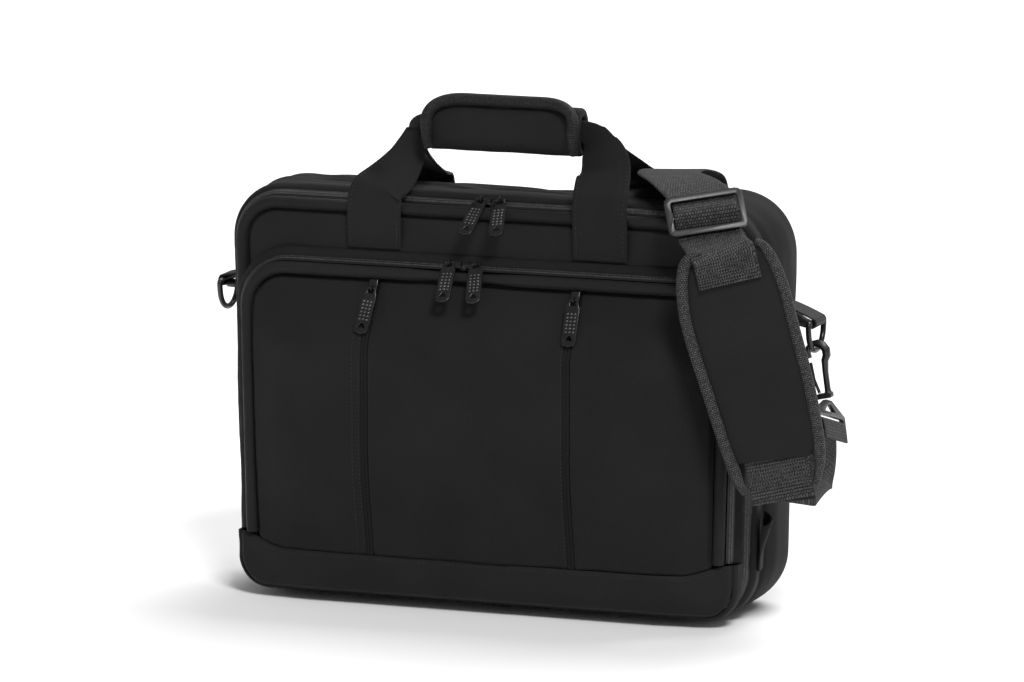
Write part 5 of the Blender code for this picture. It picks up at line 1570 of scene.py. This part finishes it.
    def pad(self) -> None:
        """The padded cloth between the two bound edges, crowned and closed."""
        route = Route(self.pad_stations, 150)
        section = [(math.copysign(abs(math.cos(t)) ** 0.55, math.cos(t)),
                    math.copysign(abs(math.sin(t)) ** 0.62, math.sin(t)))
                   for t in (2 * math.pi * k / 56 for k in range(56))]

        def shape(arc: float, a: float, point: Vector, normal: Vector) -> Vector:
            """Fullness between the edges, and gathers beside them."""
            end = min(arc, route.length - arc)
            gather = 0.00035 * ripple(arc * 110, a * 3, 5.0) * abs(a) ** 2
            fall = 0.0012 * (1 - rise(end / 0.006))
            return point + normal * (gather - fall + 0.0004 * ripple(arc * 25, a, 2.0))

        bm = swept(route, section, self.thick * 0.96, shape)
        obj = made_piece("shoulder_pad_cloth", bm, TWILL, ("shoulder_pad",), sharp=60)

    def webbed(self, stations: Sequence[tuple[Triple, Triple]], samples: int) -> Route:
        """The run of a length of webbing through its stations, each a middle and a width direction."""
        return Route([(*station, self.web_width) for station in stations], samples)

    def webbing(self, name: str, node: str, stations: Sequence[tuple[Triple, Triple]], samples: int) -> None:
        """One length of webbing."""
        route = self.webbed(stations, samples)

        def shape(arc: float, a: float, point: Vector, normal: Vector) -> Vector:
            """A little thinner at its woven edges."""
            return point - normal * 0.0002 * rise((abs(a) - 0.90) / 0.06)

        bm = swept(route, flat_section(self.web, self.web_width, 26), self.web, shape)
        made_piece(name, bm, WEBBING, (node,), sharp=70)

    def stitched_ends(self) -> None:
        """The closely sewn ends of the webbing on the pad: rows of thick thread across it."""
        sewing = Stitching()
        upper = self.webbed(self.long_stations[:5], 120).frames[4:118:10]
        lower = self.webbed(self.short_stations[:3], 160).frames[30:150:12]
        for centre, _, side, normal, width in upper + lower:
            out = -normal if normal.y > 0 else normal
            across = [width * 0.47 * (2 * k / 20 - 1) for k in range(21)]
            points = [centre + side * aside + out * (self.web / 2 + ABOVE) for aside in across]
            sewing.run(points, [out] * len(points), *self.thick_stitch)
        sewing.sewn("webbing_end_stitching", "strap_long", THICK_THREAD)


@dataclass
class Fittings:
    """D-rings in their webbing tabs and the two swivel hooks."""

    wire: float = 0.0022
    ring: Sequence[Spot] = (
        (0.0273, 0.0), (0.0413, 0.0), (0.0553, 0.0), (0.0600, -0.0012), (0.0594, -0.0084), (0.0575, -0.0134),
        (0.0545, -0.0173), (0.0506, -0.0201), (0.0461, -0.0218), (0.0413, -0.0224), (0.0365, -0.0218),
        (0.0319, -0.0201), (0.0281, -0.0173), (0.0251, -0.0134), (0.0232, -0.0084), (0.0226, -0.0012))
    tab_width: float = 0.025
    tab_thick: float = 0.0016
    tab_y: float = 0.0413
    tab_left: Sequence[Spot] = (
        (-0.2183, 0.2390), (-0.2301, 0.2378), (-0.2440, 0.2355), (-0.2457, 0.2345), (-0.2466, 0.2327),
        (-0.2465, 0.2308), (-0.2453, 0.2292), (-0.2435, 0.2284), (-0.2416, 0.2287), (-0.2301, 0.2308),
        (-0.2183, 0.2320))
    tab_right: Sequence[Spot] = (
        (0.2183, 0.2380), (0.2279, 0.2345), (0.2395, 0.2295), (0.2412, 0.2285), (0.2421, 0.2267),
        (0.2420, 0.2248), (0.2408, 0.2232), (0.2390, 0.2224), (0.2371, 0.2227), (0.2279, 0.2248),
        (0.2183, 0.2310))

    def build(self) -> None:
        """Builds rings, tabs and hooks."""
        for word, x, top, finish in (("left", -0.2431, 0.2320, BRIGHT_RING),
                                     ("right", 0.2386, 0.2260, PLATED)):
            bm = rod([(x, y, top + drop) for y, drop in self.ring], self.wire, 220, (1, 0, 0), 16)
            made_piece("ring_" + word, bm, finish, ("dring_" + word,))
        for word, points in (("left", self.tab_left), ("right", self.tab_right)):
            route = Route([((x, self.tab_y, z), (0, 1, 0), self.tab_width) for x, z in points], 160)
            bm = swept(route, flat_section(self.tab_thick, self.tab_width, 14), self.tab_thick)
            made_piece("ring_tab_" + word, bm, TAB_WEBBING, ("dring_tab_" + word,), sharp=70)
        softened("hook_frame_right", "hook_body_right", MOULDED, 0.0004)
        softened("hook_base_right", "hook_foot_right", MOULDED, 0.0008)
        softened("hook_left", "hook_body_left", MOULDED, 0.0004)
        softened("hook_gate_right", "hook_spring_gate", PLATED, 0.0002, body="hook_gate_right")


@dataclass(frozen=True)
class Pull:
    """One pull: the solid's name, the middle of its eye, and its axes across, down and out."""

    name: str
    eye: Triple
    across: Triple
    down: Triple
    out: Triple


@dataclass
class Pulls:
    """Six sliders and the six dotted pulls that hang from them."""

    long: float = 0.0370
    wide: float = 0.0118
    thick: float = 0.0018
    dome: float = 0.0021
    dome_high: float = 0.0013
    table: Sequence[Pull] = (
        Pull("main_left", (-0.0076, -0.0273, 0.3167),
             (0.9945, -0.0812, -0.0658), (-0.1045, -0.7729, -0.6259), (0, -0.6293, 0.7771)),
        Pull("main_right", (0.0075, -0.0273, 0.3167),
             (0.9833, 0.1416, 0.1147), (0.1822, -0.7641, -0.6188), (0, -0.6293, 0.7771)),
        Pull("pocket_left", (-0.0254, -0.0482, 0.2702),
             (0.9976, 0.0485, 0.0502), (0.0698, -0.6930, -0.7176), (0, -0.7193, 0.6947)),
        Pull("pocket_right", (-0.0042, -0.0482, 0.2702),
             (0.9848, 0.1206, 0.1249), (0.1736, -0.6841, -0.7084), (0, -0.7193, 0.6947)),
        Pull("placket_left", (-0.0850, -0.0591, 0.2488),
             (0.9945, -0.0458, -0.0939), (-0.1045, -0.4360, -0.8939), (0, -0.8988, 0.4384)),
        Pull("placket_right", (0.0785, -0.0591, 0.2488),
             (0.9997, 0.0115, 0.0235), (0.0262, -0.4382, -0.8985), (0, -0.8988, 0.4384)))

    def build(self) -> None:
        """Softens each slider and each pull, and sets the raised dots on the pulls."""
        for pull in self.table:
            softened(pull.name + "_slider", pull.name + "_slide_body", PLATED, 0.0003)
            body = pull.name + "_pull"
            softened(body, pull.name + "_flat_pull", PLATED, 0.0005, body=body)
            bm = bmesh.new()
            for matrix in self.dots(pull):
                bmesh.ops.create_icosphere(bm, subdivisions=2, radius=0.5, matrix=matrix)
            made_piece(pull.name + "_pull_dots", bm, DOT_PAINTED_HIGHLIGHT, (), body, body=body)

    def dots(self, pull: Pull) -> list[Matrix]:
        """Places of the raised dots on both sides of a pull: six rows of three."""
        across, down, out = Vector(pull.across), Vector(pull.down), Vector(pull.out)
        made = []
        for face in (1, -1):
            for row in range(6):
                for column in (-1, 0, 1):
                    spot = Vector(pull.eye) + down * self.long * (0.30 + 0.078 * row)
                    spot += across * self.wide * 0.25 * column
                    spot += out * face * (self.thick / 2 - ABOVE)
                    axes = (across * self.dome, down * self.dome * 0.82, out * face * self.dome_high)
                    made.append(Matrix.Translation(spot) @ Matrix(axes).transposed().to_4x4())
        return made


@dataclass
class Studio:
    """Floor, soft lights and the camera at the photograph's viewing angle."""

    turn: float = 20.0
    tilt: float = 10.0
    distance: float = 6.0
    focal: float = 7812.0
    target: tuple[float, float, float] = (0.0, 0.0, 0.150)
    seen_at: tuple[float, float] = (503.0, 409.0)
    frame_size: tuple[float, float] = (1024.0, 682.0)
    sensor: float = 36.0
    floor_half: float = 6.0
    floor_tone: float = 0.93
    surround: float = 0.36

    def build(self) -> None:
        """Sets the camera, the floor, the world and the lights."""
        self.camera()
        self.floor()
        self.lights()

    def camera(self) -> None:
        """The camera, moved sideways so that the target falls on its place in the frame."""
        a, e = math.radians(self.turn), math.radians(self.tilt)
        right = Vector((math.cos(a), math.sin(a), 0))
        view = Vector((-math.sin(a) * math.cos(e), math.cos(a) * math.cos(e), -math.sin(e)))
        up = Vector((-math.sin(a) * math.sin(e), math.cos(a) * math.sin(e), math.cos(e)))
        aside = (self.seen_at[0] - self.frame_size[0] / 2) / self.focal * self.distance
        lifted = -(self.seen_at[1] - self.frame_size[1] / 2) / self.focal * self.distance
        place = Vector(self.target) - view * self.distance - right * aside - up * lifted
        data = bpy.data.cameras.new("camera")
        data.sensor_fit = "HORIZONTAL"
        data.sensor_width = self.sensor
        data.lens = self.focal * self.sensor / self.frame_size[0]
        data.clip_end = 50.0
        obj = placed("camera", data)
        obj.matrix_world = Matrix.Translation(place) @ Matrix((right, up, -view)).transposed().to_4x4()
        bpy.context.scene.camera = obj

    def floor(self) -> None:
        """A wide pale floor."""
        bm = bmesh.new()
        bmesh.ops.create_grid(bm, x_segments=1, y_segments=1, size=self.floor_half)
        obj = filled("floor", bm)
        wiring = Wiring("floor")
        tone = self.floor_tone
        wiring.shader.inputs["Base Color"].default_value = (tone, tone, tone, 1)
        wiring.surface(0.9)
        obj.data.materials.append(wiring.material)
        obj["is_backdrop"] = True

    def lights(self) -> None:
        """A soft key from the upper right, a soft light from above and behind, and a pale surround."""
        world = bpy.data.worlds.new("studio")
        world.use_nodes = True
        background = world.node_tree.nodes["Background"]
        background.inputs["Color"].default_value = (1, 1, 1, 1)
        background.inputs["Strength"].default_value = self.surround
        bpy.context.scene.world = world
        bpy.context.scene.view_settings.view_transform = "Standard"
        for name, place, spread, power in (("key", (0.70, -0.90, 1.25), 16.0, 2.1),
                                           ("top", (0.35, 1.0, 1.55), 40.0, 2.4)):
            data = bpy.data.lights.new(name, "SUN")
            data.energy = power
            data.angle = math.radians(spread)
            turn = Vector(place).to_track_quat("Z", "Y").to_matrix().to_4x4()
            placed(name, data).matrix_world = Matrix.Translation(place) @ turn


def kept_sizes() -> None:
    """Works out the solids' box and the dressed bag's box."""
    def plain(value: object) -> object:
        """Nested vectors as plain lists."""
        return [plain(v) for v in value] if hasattr(value, "__len__") else float(value)

    {"cad": plain(CAD_BOX), "visual": plain(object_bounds())}


def main() -> None:
    """Builds the studio and every sub-assembly in order."""
    logging.basicConfig(level=logging.INFO, format="%(message)s")
    for part in (Studio(), MainCompartment(), FrontPocket(), SlipPocket(), Handle(), ShoulderStrap(),
                 Fittings(), Pulls()):
        part.build()
        LOG.info("built %s", type(part).__name__)
    kept_sizes()


if __name__ == "__main__":
    main()
